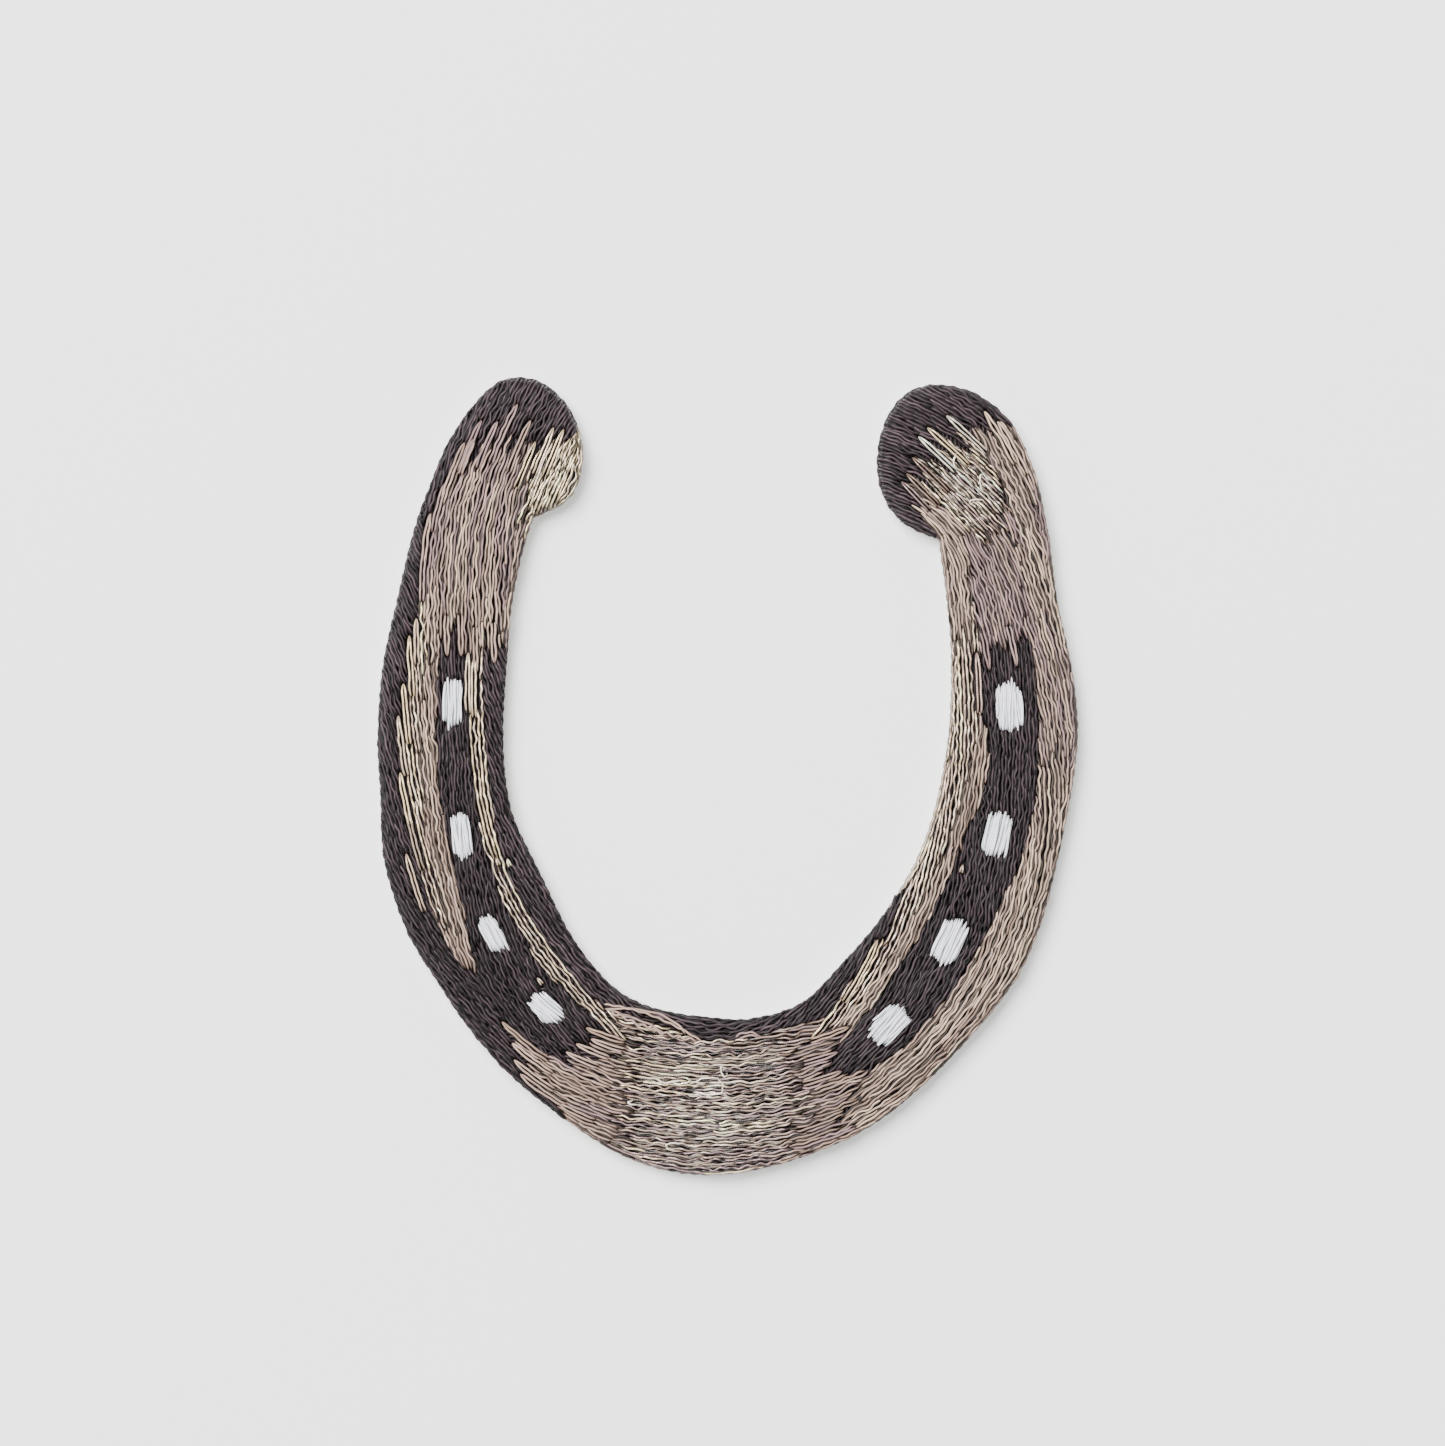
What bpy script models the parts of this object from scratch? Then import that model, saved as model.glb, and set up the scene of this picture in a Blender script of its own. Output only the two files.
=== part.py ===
"""Embroidered horseshoe applique, face up, heels towards +Y and toe towards -Y.

A felt backing carries a trimmed linen ground, three blocks of dark underlay stitches and a top
layer of long-and-short stitched fields that lie side by side. Eight white satin patches stand in
openings of the dark crease as the nail holes. The pattern is drawn like a stained-glass window:
shared seam lines, in millimetres, and fields that are closed loops of them.
"""

import math

import bmesh
import bpy
from mathutils import Vector
from mathutils.geometry import tessellate_polygon

MM = 0.001
SAMPLE_STEP = 2.1
SEAM_HALF_GAP = 0.15
MITRE_LIMIT = 2.5

FELT_THICKNESS = 1.0
LINEN_THICKNESS = 0.4
UNDERLAY_THICKNESS = 0.5
STITCH_THICKNESS = 0.8
LAYER_GAP = 0.3

FELT_INSET = 0.5
LINEN_INSET = 0.3
UNDERLAY_INSET = 0.9
ROUNDING = 0.15

LINEN_BASE = FELT_THICKNESS + LAYER_GAP
UNDERLAY_BASE = LINEN_BASE + LINEN_THICKNESS + LAYER_GAP
STITCH_BASE = UNDERLAY_BASE + UNDERLAY_THICKNESS + LAYER_GAP

# Colours are sRGB, with roughness.
DARK = ((0.31, 0.27, 0.28), 0.7)
MAUVE = ((0.57, 0.50, 0.50), 0.65)
TAUPE = ((0.62, 0.55, 0.50), 0.65)
BEIGE = ((0.66, 0.60, 0.54), 0.65)
GOLD = ((0.76, 0.71, 0.62), 0.45)
WHITE = ((0.87, 0.87, 0.88), 0.5)
LINEN = ((0.90, 0.90, 0.90), 0.9)
FELT = ((0.85, 0.83, 0.79), 0.95)

# Points where seams meet.
CORNERS = {
    # Outer edge, from the left notch round the toe to the right notch.
    "left_notch": (-19.5, 25.7),
    "lobe_top": (-14.8, 34.5),
    "left_cap_foot": (-29.9, 29.0),
    "left_border_foot": (-29.3, -20.4),
    "left_dark_foot": (-15.8, -34.8),
    "toe_edge_left": (-8.6, -38.9),
    "toe_edge_right": (4.4, -39.15),
    "band_foot": (9.8, -37.35),
    "band_middle": (34.75, 0.4),
    "right_cap_foot": (28.8, 34.8),
    "right_notch": (21.1, 23.6),
    # Inner edge.
    "web_foot_inner": (-22.05, 11.6),
    "toe_border_left": (-10.4, -21.9),
    "toe_border_right": (4.8, -23.8),
    "right_border_tip": (17.3, -11.2),
    "right_gold_top_inner": (22.35, 11.8),
    # Left branch.
    "cap_gold_web": (-18.3, 34.1),
    "cap_border_web": (-27.6, 29.7),
    "border_gold_web": (-31.4, 15.2),
    "gold_web_stripe": (-30.2, 14.4),
    "stripe_web_crease": (-28.7, 12.8),
    "crease_web_gold": (-26.2, 12.4),
    "gold_web_border": (-24.7, 11.2),
    "outer_gold_foot_left": (-29.9, -12.4),
    "outer_gold_foot_right": (-28.7, -12.0),
    "stripe_tip_left": (-26.4, -19.6),
    "stripe_tip_right": (-25.0, -19.9),
    "left_crease_split_outer": (-27.0, -10.9),
    "left_crease_split_inner": (-23.1, -11.4),
    "tongue_tip": (-22.2, -25.2),
    "left_gold_end_outer": (-13.1, -24.6),
    "left_gold_end_inner": (-12.2, -23.2),
    # Toe.
    "toe_seam_left": (-7.6, -24.2),
    "toe_seam_right": (5.2, -25.3),
    # Right branch.
    "right_gold_end_inner": (10.0, -24.2),
    "right_gold_end_outer": (11.0, -25.1),
    "right_crease_foot_inner": (11.9, -26.1),
    "right_crease_foot_outer": (10.9, -30.0),
    "right_crease_split_inner": (22.0, -10.6),
    "right_crease_split_outer": (28.2, -10.6),
    "band_crease_split": (30.8, -0.2),
    "crease_top_inner": (25.3, 11.0),
    "crease_top_outer": (30.2, 12.8),
    "gold_top_outer": (25.0, 13.0),
    "lower_band_top": (25.3, 6.8),
    "lobe_cap_gold": (18.0, 29.2),
    "cap_gold_band": (24.2, 35.4),
    "gold_band_web": (27.0, 27.2),
    "gold_web_inner_band": (24.6, 24.2),
}

# Seam lines: corner names, and the plain points that bend the line between them.
SEAMS = {
    "outer_edge": (
        "left_notch", (-18.2, 26.3), (-16.8, 26.9), (-15.5, 28.1), (-14.8, 29.6), (-14.5, 31.4),
        (-14.5, 33.0), "lobe_top", (-15.3, 35.9), (-16.2, 37.4), (-17.6, 38.8), (-19.2, 39.7),
        (-21.0, 39.95), (-22.8, 39.6), (-24.4, 38.4), (-26.6, 35.7), (-28.2, 33.2),
        "left_cap_foot", (-31.1, 25.8), (-32.2, 21.8), (-33.3, 17.0), (-34.4, 12.2), (-34.9, 8.0),
        (-35.1, 3.0), (-34.8, -2.0), (-34.6, -7.6), (-33.6, -11.8), (-31.9, -16.2),
        "left_border_foot", (-25.9, -25.4), (-21.2, -30.6), "left_dark_foot", (-12.4, -37.1),
        "toe_edge_left", (-4.6, -39.85), (-0.2, -39.95), "toe_edge_right", "band_foot",
        (14.4, -35.1), (19.6, -31.0), (24.8, -25.6), (29.0, -20.2), (31.6, -14.2), (33.4, -6.8),
        "band_middle", (35.05, 5.4), (34.4, 11.2), (33.1, 17.0), (32.2, 23.6), (30.9, 30.0),
        "right_cap_foot", (26.9, 37.0), (24.6, 38.5), (22.4, 39.1), (20.2, 39.2), (18.4, 38.7),
        (16.9, 37.5), (15.8, 35.8), (15.1, 33.6), (14.85, 31.3), (15.1, 29.0), (16.0, 26.9),
        (17.4, 25.3), (19.2, 24.3), "right_notch"),
    "inner_edge": (
        "left_notch", (-20.6, 22.0), (-21.6, 17.0), "web_foot_inner", (-22.4, 6.6), (-22.4, 1.6),
        (-21.6, -3.6), (-20.1, -7.0), (-18.2, -10.8), (-16.1, -15.2), (-13.4, -19.1),
        "toe_border_left", (-6.4, -23.5), (-1.4, -24.2), (1.8, -24.35), "toe_border_right",
        (8.0, -22.3), (11.0, -19.2), (14.4, -15.4), "right_border_tip", (19.4, -7.2),
        (21.0, -2.0), (22.1, 4.4), "right_gold_top_inner", (21.9, 17.4), "right_notch"),
    "left_cap_hem": (
        "lobe_top", (-16.6, 33.9), "cap_gold_web", (-20.1, 34.9), (-21.8, 35.3), (-23.6, 34.7),
        (-25.4, 33.6), (-26.7, 32.0), "cap_border_web"),
    "left_cap_side": ("cap_border_web", "left_cap_foot"),
    "left_lobe_side": (
        "left_notch", (-19.7, 27.8), (-19.6, 30.2), (-19.0, 32.4), "cap_gold_web"),
    "left_border_side": (
        "cap_border_web", (-28.7, 27.0), (-30.2, 22.2), (-30.9, 18.4), "border_gold_web",
        (-32.2, 11.0), (-32.7, 5.4), (-32.3, -1.2), (-31.3, -7.0), "outer_gold_foot_left"),
    "left_border_lower_side": ("outer_gold_foot_left", (-28.6, -16.2), "stripe_tip_left"),
    "left_outer_gold_side": (
        "gold_web_stripe", (-30.6, 9.6), (-30.9, 3.6), (-30.6, -2.8), (-29.8, -8.0),
        "outer_gold_foot_right"),
    "left_outer_gold_foot": ("outer_gold_foot_left", "outer_gold_foot_right"),
    "left_web_hem": (
        "border_gold_web", "gold_web_stripe", "stripe_web_crease", (-27.4, 12.0),
        "crease_web_gold", "gold_web_border", "web_foot_inner"),
    "left_stripe_side": (
        "stripe_web_crease", (-29.1, 7.6), (-29.0, 2.4), (-28.5, -4.0),
        "left_crease_split_outer", (-25.9, -15.6), "stripe_tip_right"),
    "left_stripe_tip": ("stripe_tip_left", "stripe_tip_right"),
    "left_border_split": ("stripe_tip_left", "left_border_foot"),
    "left_crease_split": ("left_crease_split_outer", "left_crease_split_inner"),
    "left_gold_outer_side": (
        "crease_web_gold", (-25.8, 7.0), (-25.7, 2.0), (-24.95, -4.2), "left_crease_split_inner",
        (-20.7, -16.0), (-17.3, -20.6), "left_gold_end_outer"),
    "left_gold_inner_side": (
        "gold_web_border", (-24.2, 6.8), (-24.0, 1.8), (-23.3, -4.6), (-21.5, -10.8),
        (-18.5, -16.2), (-15.4, -20.2), "left_gold_end_inner"),
    "left_gold_end": ("left_gold_end_outer", "left_gold_end_inner"),
    "left_dark_split": ("stripe_tip_right", "tongue_tip"),
    "left_pocket_hem": (
        "left_gold_end_outer", (-14.9, -26.9), (-17.0, -28.0), (-19.4, -26.8), "tongue_tip"),
    "left_tongue_side": ("tongue_tip", (-20.6, -28.6), (-18.4, -31.6), "left_dark_foot"),
    "toe_border_left_split": ("left_gold_end_inner", "toe_border_left"),
    "toe_border_right_split": ("toe_seam_right", "toe_border_right"),
    "toe_border_hem": (
        "left_gold_end_inner", "toe_seam_left", (-4.8, -25.4), (-1.6, -26.4), (1.8, -26.3),
        "toe_seam_right", "right_gold_end_inner"),
    "toe_left_side": ("toe_seam_left", (-8.5, -31.0), "toe_edge_left"),
    "toe_right_side": ("toe_seam_right", (5.3, -32.0), "toe_edge_right"),
    "right_gold_end": (
        "right_gold_end_inner", "right_gold_end_outer", "right_crease_foot_inner"),
    "right_crease_foot": (
        "right_crease_foot_inner", (10.9, -28.0), "right_crease_foot_outer"),
    "band_foot_side": ("right_crease_foot_outer", "band_foot"),
    "right_border_side": (
        "right_gold_end_inner", (12.4, -20.2), (15.4, -16.4), (17.3, -13.0), "right_border_tip"),
    "right_gold_side": (
        "lower_band_top", (24.0, 1.4), (22.2, -5.2), (19.2, -12.0), (15.9, -18.2),
        "right_gold_end_outer"),
    "right_crease_top_side": ("crease_top_inner", "lower_band_top"),
    "right_crease_inner_side": (
        "lower_band_top", (26.3, 3.0), (25.1, -3.4), "right_crease_split_inner", (19.2, -16.2),
        (15.2, -22.0), "right_crease_foot_inner"),
    "right_crease_outer_side": (
        "crease_top_outer", (30.9, 6.6), "band_crease_split", (29.8, -5.8),
        "right_crease_split_outer", (25.4, -16.4), (21.4, -22.8), (16.4, -27.9),
        "right_crease_foot_outer"),
    "right_crease_split": ("right_crease_split_inner", "right_crease_split_outer"),
    "right_band_split": ("band_crease_split", "band_middle"),
    "right_web_hem": ("crease_top_inner", (27.4, 11.7), (28.9, 12.6), "crease_top_outer"),
    "right_gold_top": ("right_gold_top_inner", "gold_top_outer"),
    "right_gold_web_side": ("gold_top_outer", "crease_top_inner"),
    "right_web_inner_side": ("gold_top_outer", (24.9, 18.6), "gold_web_inner_band"),
    "right_heel_gold_foot": ("gold_band_web", "gold_web_inner_band"),
    "right_web_outer_side": ("gold_band_web", (29.2, 22.2), (30.1, 17.4), "crease_top_outer"),
    "right_heel_band_side": ("cap_gold_band", (25.7, 31.2), "gold_band_web"),
    "right_heel_gold_side": ("gold_web_inner_band", (21.2, 27.2), "lobe_cap_gold"),
    "right_cap_hem": ("lobe_cap_gold", (19.0, 32.2), (21.2, 34.7), "cap_gold_band"),
    "right_cap_side": ("cap_gold_band", (26.4, 35.8), "right_cap_foot"),
    "right_lobe_hem": ("lobe_cap_gold", (18.0, 27.4), (18.6, 25.8), (20.2, 25.0), "right_notch"),
}

# Fields: material, then the stretches of seam that go once round the field.
FIELDS = {
    "left_heel_cap_dark": (DARK, (
        ("outer_edge", "lobe_top", "left_cap_foot"),
        ("left_cap_side", "left_cap_foot", "cap_border_web"),
        ("left_cap_hem", "cap_border_web", "lobe_top"))),
    "left_heel_gold": (GOLD, (
        ("outer_edge", "left_notch", "lobe_top"),
        ("left_cap_hem", "lobe_top", "cap_gold_web"),
        ("left_lobe_side", "cap_gold_web", "left_notch"))),
    "left_web_mauve": (MAUVE, (
        ("left_lobe_side", "left_notch", "cap_gold_web"),
        ("left_cap_hem", "cap_gold_web", "cap_border_web"),
        ("left_border_side", "cap_border_web", "border_gold_web"),
        ("left_web_hem", "border_gold_web", "web_foot_inner"),
        ("inner_edge", "web_foot_inner", "left_notch"))),
    "left_outer_border_dark": (DARK, (
        ("outer_edge", "left_cap_foot", "left_border_foot"),
        ("left_border_split", "left_border_foot", "stripe_tip_left"),
        ("left_border_lower_side", "stripe_tip_left", "outer_gold_foot_left"),
        ("left_border_side", "outer_gold_foot_left", "cap_border_web"),
        ("left_cap_side", "cap_border_web", "left_cap_foot"))),
    "left_outer_gold": (GOLD, (
        ("left_border_side", "border_gold_web", "outer_gold_foot_left"),
        ("left_outer_gold_foot", "outer_gold_foot_left", "outer_gold_foot_right"),
        ("left_outer_gold_side", "outer_gold_foot_right", "gold_web_stripe"),
        ("left_web_hem", "gold_web_stripe", "border_gold_web"))),
    "left_outer_stripe_taupe": (TAUPE, (
        ("left_outer_gold_side", "gold_web_stripe", "outer_gold_foot_right"),
        ("left_outer_gold_foot", "outer_gold_foot_right", "outer_gold_foot_left"),
        ("left_border_lower_side", "outer_gold_foot_left", "stripe_tip_left"),
        ("left_stripe_tip", "stripe_tip_left", "stripe_tip_right"),
        ("left_stripe_side", "stripe_tip_right", "stripe_web_crease"),
        ("left_web_hem", "stripe_web_crease", "gold_web_stripe"))),
    "left_crease_upper_dark": (DARK, (
        ("left_stripe_side", "stripe_web_crease", "left_crease_split_outer"),
        ("left_crease_split", "left_crease_split_outer", "left_crease_split_inner"),
        ("left_gold_outer_side", "left_crease_split_inner", "crease_web_gold"),
        ("left_web_hem", "crease_web_gold", "stripe_web_crease"))),
    "left_crease_lower_dark": (DARK, (
        ("left_stripe_side", "left_crease_split_outer", "stripe_tip_right"),
        ("left_dark_split", "stripe_tip_right", "tongue_tip"),
        ("left_pocket_hem", "tongue_tip", "left_gold_end_outer"),
        ("left_gold_outer_side", "left_gold_end_outer", "left_crease_split_inner"),
        ("left_crease_split", "left_crease_split_inner", "left_crease_split_outer"))),
    "left_lower_outer_dark": (DARK, (
        ("left_border_split", "stripe_tip_left", "left_border_foot"),
        ("outer_edge", "left_border_foot", "left_dark_foot"),
        ("left_tongue_side", "left_dark_foot", "tongue_tip"),
        ("left_dark_split", "tongue_tip", "stripe_tip_right"),
        ("left_stripe_tip", "stripe_tip_right", "stripe_tip_left"))),
    "left_inner_gold": (GOLD, (
        ("left_gold_outer_side", "crease_web_gold", "left_gold_end_outer"),
        ("left_gold_end", "left_gold_end_outer", "left_gold_end_inner"),
        ("left_gold_inner_side", "left_gold_end_inner", "gold_web_border"),
        ("left_web_hem", "gold_web_border", "crease_web_gold"))),
    "left_inner_border_dark": (DARK, (
        ("left_gold_inner_side", "gold_web_border", "left_gold_end_inner"),
        ("toe_border_left_split", "left_gold_end_inner", "toe_border_left"),
        ("inner_edge", "toe_border_left", "web_foot_inner"),
        ("left_web_hem", "web_foot_inner", "gold_web_border"))),
    "toe_left_taupe": (TAUPE, (
        ("left_pocket_hem", "left_gold_end_outer", "tongue_tip"),
        ("left_tongue_side", "tongue_tip", "left_dark_foot"),
        ("outer_edge", "left_dark_foot", "toe_edge_left"),
        ("toe_left_side", "toe_edge_left", "toe_seam_left"),
        ("toe_border_hem", "toe_seam_left", "left_gold_end_inner"),
        ("left_gold_end", "left_gold_end_inner", "left_gold_end_outer"))),
    "toe_centre_gold": (GOLD, (
        ("toe_left_side", "toe_seam_left", "toe_edge_left"),
        ("outer_edge", "toe_edge_left", "toe_edge_right"),
        ("toe_right_side", "toe_edge_right", "toe_seam_right"),
        ("toe_border_hem", "toe_seam_right", "toe_seam_left"))),
    "toe_right_mauve": (MAUVE, (
        ("toe_right_side", "toe_seam_right", "toe_edge_right"),
        ("outer_edge", "toe_edge_right", "band_foot"),
        ("band_foot_side", "band_foot", "right_crease_foot_outer"),
        ("right_crease_foot", "right_crease_foot_outer", "right_crease_foot_inner"),
        ("right_gold_end", "right_crease_foot_inner", "right_gold_end_inner"),
        ("toe_border_hem", "right_gold_end_inner", "toe_seam_right"))),
    "toe_inner_border_dark": (DARK, (
        ("toe_border_left_split", "toe_border_left", "left_gold_end_inner"),
        ("toe_border_hem", "left_gold_end_inner", "toe_seam_right"),
        ("toe_border_right_split", "toe_seam_right", "toe_border_right"),
        ("inner_edge", "toe_border_right", "toe_border_left"))),
    "right_inner_border_dark": (DARK, (
        ("toe_border_right_split", "toe_border_right", "toe_seam_right"),
        ("toe_border_hem", "toe_seam_right", "right_gold_end_inner"),
        ("right_border_side", "right_gold_end_inner", "right_border_tip"),
        ("inner_edge", "right_border_tip", "toe_border_right"))),
    "right_inner_gold": (GOLD, (
        ("right_border_side", "right_border_tip", "right_gold_end_inner"),
        ("right_gold_end", "right_gold_end_inner", "right_gold_end_outer"),
        ("right_gold_side", "right_gold_end_outer", "lower_band_top"),
        ("right_crease_top_side", "lower_band_top", "crease_top_inner"),
        ("right_gold_web_side", "crease_top_inner", "gold_top_outer"),
        ("right_gold_top", "gold_top_outer", "right_gold_top_inner"),
        ("inner_edge", "right_gold_top_inner", "right_border_tip"))),
    "right_lower_band_taupe": (TAUPE, (
        ("right_gold_side", "lower_band_top", "right_gold_end_outer"),
        ("right_gold_end", "right_gold_end_outer", "right_crease_foot_inner"),
        ("right_crease_inner_side", "right_crease_foot_inner", "lower_band_top"))),
    "right_crease_upper_dark": (DARK, (
        ("right_crease_top_side", "crease_top_inner", "lower_band_top"),
        ("right_crease_inner_side", "lower_band_top", "right_crease_split_inner"),
        ("right_crease_split", "right_crease_split_inner", "right_crease_split_outer"),
        ("right_crease_outer_side", "right_crease_split_outer", "crease_top_outer"),
        ("right_web_hem", "crease_top_outer", "crease_top_inner"))),
    "right_crease_lower_dark": (DARK, (
        ("right_crease_split", "right_crease_split_outer", "right_crease_split_inner"),
        ("right_crease_inner_side", "right_crease_split_inner", "right_crease_foot_inner"),
        ("right_crease_foot", "right_crease_foot_inner", "right_crease_foot_outer"),
        ("right_crease_outer_side", "right_crease_foot_outer", "right_crease_split_outer"))),
    "right_outer_band_lower_beige": (BEIGE, (
        ("band_foot_side", "right_crease_foot_outer", "band_foot"),
        ("outer_edge", "band_foot", "band_middle"),
        ("right_band_split", "band_middle", "band_crease_split"),
        ("right_crease_outer_side", "band_crease_split", "right_crease_foot_outer"))),
    "right_outer_band_upper_beige": (BEIGE, (
        ("right_band_split", "band_crease_split", "band_middle"),
        ("outer_edge", "band_middle", "right_cap_foot"),
        ("right_cap_side", "right_cap_foot", "cap_gold_band"),
        ("right_heel_band_side", "cap_gold_band", "gold_band_web"),
        ("right_web_outer_side", "gold_band_web", "crease_top_outer"),
        ("right_crease_outer_side", "crease_top_outer", "band_crease_split"))),
    "right_web_mauve": (MAUVE, (
        ("right_heel_gold_foot", "gold_band_web", "gold_web_inner_band"),
        ("right_web_inner_side", "gold_web_inner_band", "gold_top_outer"),
        ("right_gold_web_side", "gold_top_outer", "crease_top_inner"),
        ("right_web_hem", "crease_top_inner", "crease_top_outer"),
        ("right_web_outer_side", "crease_top_outer", "gold_band_web"))),
    "right_inner_band_taupe": (TAUPE, (
        ("right_web_inner_side", "gold_top_outer", "gold_web_inner_band"),
        ("right_heel_gold_side", "gold_web_inner_band", "lobe_cap_gold"),
        ("right_lobe_hem", "lobe_cap_gold", "right_notch"),
        ("inner_edge", "right_notch", "right_gold_top_inner"),
        ("right_gold_top", "right_gold_top_inner", "gold_top_outer"))),
    "right_heel_gold": (GOLD, (
        ("right_cap_hem", "lobe_cap_gold", "cap_gold_band"),
        ("right_heel_band_side", "cap_gold_band", "gold_band_web"),
        ("right_heel_gold_foot", "gold_band_web", "gold_web_inner_band"),
        ("right_heel_gold_side", "gold_web_inner_band", "lobe_cap_gold"))),
    "right_heel_cap_dark": (DARK, (
        ("outer_edge", "right_cap_foot", "right_notch"),
        ("right_lobe_hem", "right_notch", "lobe_cap_gold"),
        ("right_cap_hem", "lobe_cap_gold", "cap_gold_band"),
        ("right_cap_side", "cap_gold_band", "right_cap_foot"))),
}

# Nail holes: the crease field that holds each, centre, width, length and lean from +Y in degrees.
NAIL_HOLES = {
    "left_nail_hole_1": ("left_crease_upper_dark", (-27.45, 7.3), 1.7, 4.6, 0.0),
    "left_nail_hole_2": ("left_crease_upper_dark", (-26.5, -6.0), 1.8, 4.4, 8.0),
    "left_nail_hole_3": ("left_crease_lower_dark", (-23.5, -15.8), 1.9, 3.7, 28.0),
    "left_nail_hole_4": ("left_crease_lower_dark", (-18.2, -23.2), 2.2, 3.4, 48.0),
    "right_nail_hole_1": ("right_crease_upper_dark", (28.1, 6.9), 2.6, 4.6, 2.0),
    "right_nail_hole_2": ("right_crease_upper_dark", (26.9, -5.9), 2.5, 4.3, -14.0),
    "right_nail_hole_3": ("right_crease_lower_dark", (22.2, -16.6), 2.6, 4.5, -24.0),
    "right_nail_hole_4": ("right_crease_lower_dark", (16.1, -24.9), 2.6, 4.3, -42.0),
}
NAIL_HOLE_SIDES = 14
NAIL_HOLE_SQUARENESS = 4.0

UNDERLAYS = {
    "underlay_left_branch": (
        ("outer_edge", "left_notch", "left_border_foot"),
        ("inner_edge", "toe_border_left", "left_notch")),
    "underlay_toe": (
        ("outer_edge", "left_border_foot", "band_foot"),
        ("inner_edge", "toe_border_right", "toe_border_left")),
    "underlay_right_branch": (
        ("outer_edge", "band_foot", "right_notch"),
        ("inner_edge", "right_notch", "toe_border_right")),
}
OUTLINE = (
    ("outer_edge", "left_notch", "right_notch"),
    ("inner_edge", "right_notch", "left_notch"))


def clear_scene():
    """Removes whatever the file opened with."""
    for thing in list(bpy.data.objects):
        bpy.data.objects.remove(thing, do_unlink=True)


def material(name, look):
    """One Principled material from an sRGB colour and a roughness."""
    colour, roughness = look
    linear = [((value + 0.055) / 1.055) ** 2.4 for value in colour]
    made = bpy.data.materials.new(name)
    made.use_nodes = True
    shader = made.node_tree.nodes["Principled BSDF"]
    shader.inputs["Base Color"].default_value = (*linear, 1.0)
    shader.inputs["Roughness"].default_value = roughness
    shader.inputs["Metallic"].default_value = 0.0
    return made


def place(knot):
    """A seam's knot as a point: a corner's name, or the point itself."""
    if isinstance(knot, str):
        return Vector(CORNERS[knot])
    return Vector(knot)


def curve_point(before, start, end, after, share):
    """A point on the smooth curve from start to end, with its neighbours' pull."""
    square = share * share
    cube = square * share
    return 0.5 * (2.0 * start + share * (end - before)
                  + square * (2.0 * before - 5.0 * start + 4.0 * end - after)
                  + cube * (3.0 * start - before - 3.0 * end + after))


def stretch(seam, first, last):
    """Points along a seam from one corner up to, and not including, another."""
    knots = SEAMS[seam]
    low, high = sorted((knots.index(first), knots.index(last)))
    points = [place(knot) for knot in knots]
    line = []
    for index in range(low, high):
        start, end = points[index], points[index + 1]
        before = points[index - 1] if index > 0 else 2.0 * start - end
        after = points[index + 2] if index + 2 < len(points) else 2.0 * end - start
        count = max(1, round((end - start).length / SAMPLE_STEP))
        line += [curve_point(before, start, end, after, step / count) for step in range(count)]
    line.append(points[high])
    if knots.index(first) > knots.index(last):
        line.reverse()
    return line[:-1]


def signed_area(loop):
    """Twice the area of a loop, positive when it turns anticlockwise."""
    pairs = zip(loop, loop[1:] + loop[:1])
    return sum(here.x * after.y - after.x * here.y for here, after in pairs)


def region(stretches):
    """The closed anticlockwise loop that a list of seam stretches makes."""
    loop = [point for part in stretches for point in stretch(*part)]
    if signed_area(loop) < 0.0:
        loop.reverse()
    return loop


def inset(loop, distance):
    """Moves every side of an anticlockwise loop inwards by one distance."""
    moved = []
    for before, here, after in zip(loop[-1:] + loop[:-1], loop, loop[1:] + loop[:1]):
        arriving = (here - before).normalized()
        leaving = (after - here).normalized()
        first_normal = Vector((-arriving.y, arriving.x))
        second_normal = Vector((-leaving.y, leaving.x))
        mitre = (first_normal + second_normal).normalized()
        reach = min(MITRE_LIMIT, 1.0 / max(mitre.dot(first_normal), 0.01))
        moved.append(here + mitre * distance * reach)
    return moved


def nail_hole_loop(centre, width, length, lean):
    """A rounded rectangle that leans from +Y, anticlockwise."""
    turn = math.radians(lean)
    power = 2.0 / NAIL_HOLE_SQUARENESS
    loop = []
    for side in range(NAIL_HOLE_SIDES):
        angle = math.tau * (side + 0.5) / NAIL_HOLE_SIDES
        across = 0.5 * width * math.copysign(abs(math.cos(angle)) ** power, math.cos(angle))
        along = 0.5 * length * math.copysign(abs(math.sin(angle)) ** power, math.sin(angle))
        loop.append(Vector((
            centre[0] + across * math.cos(turn) - along * math.sin(turn),
            centre[1] + across * math.sin(turn) + along * math.cos(turn))))
    return loop


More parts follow.
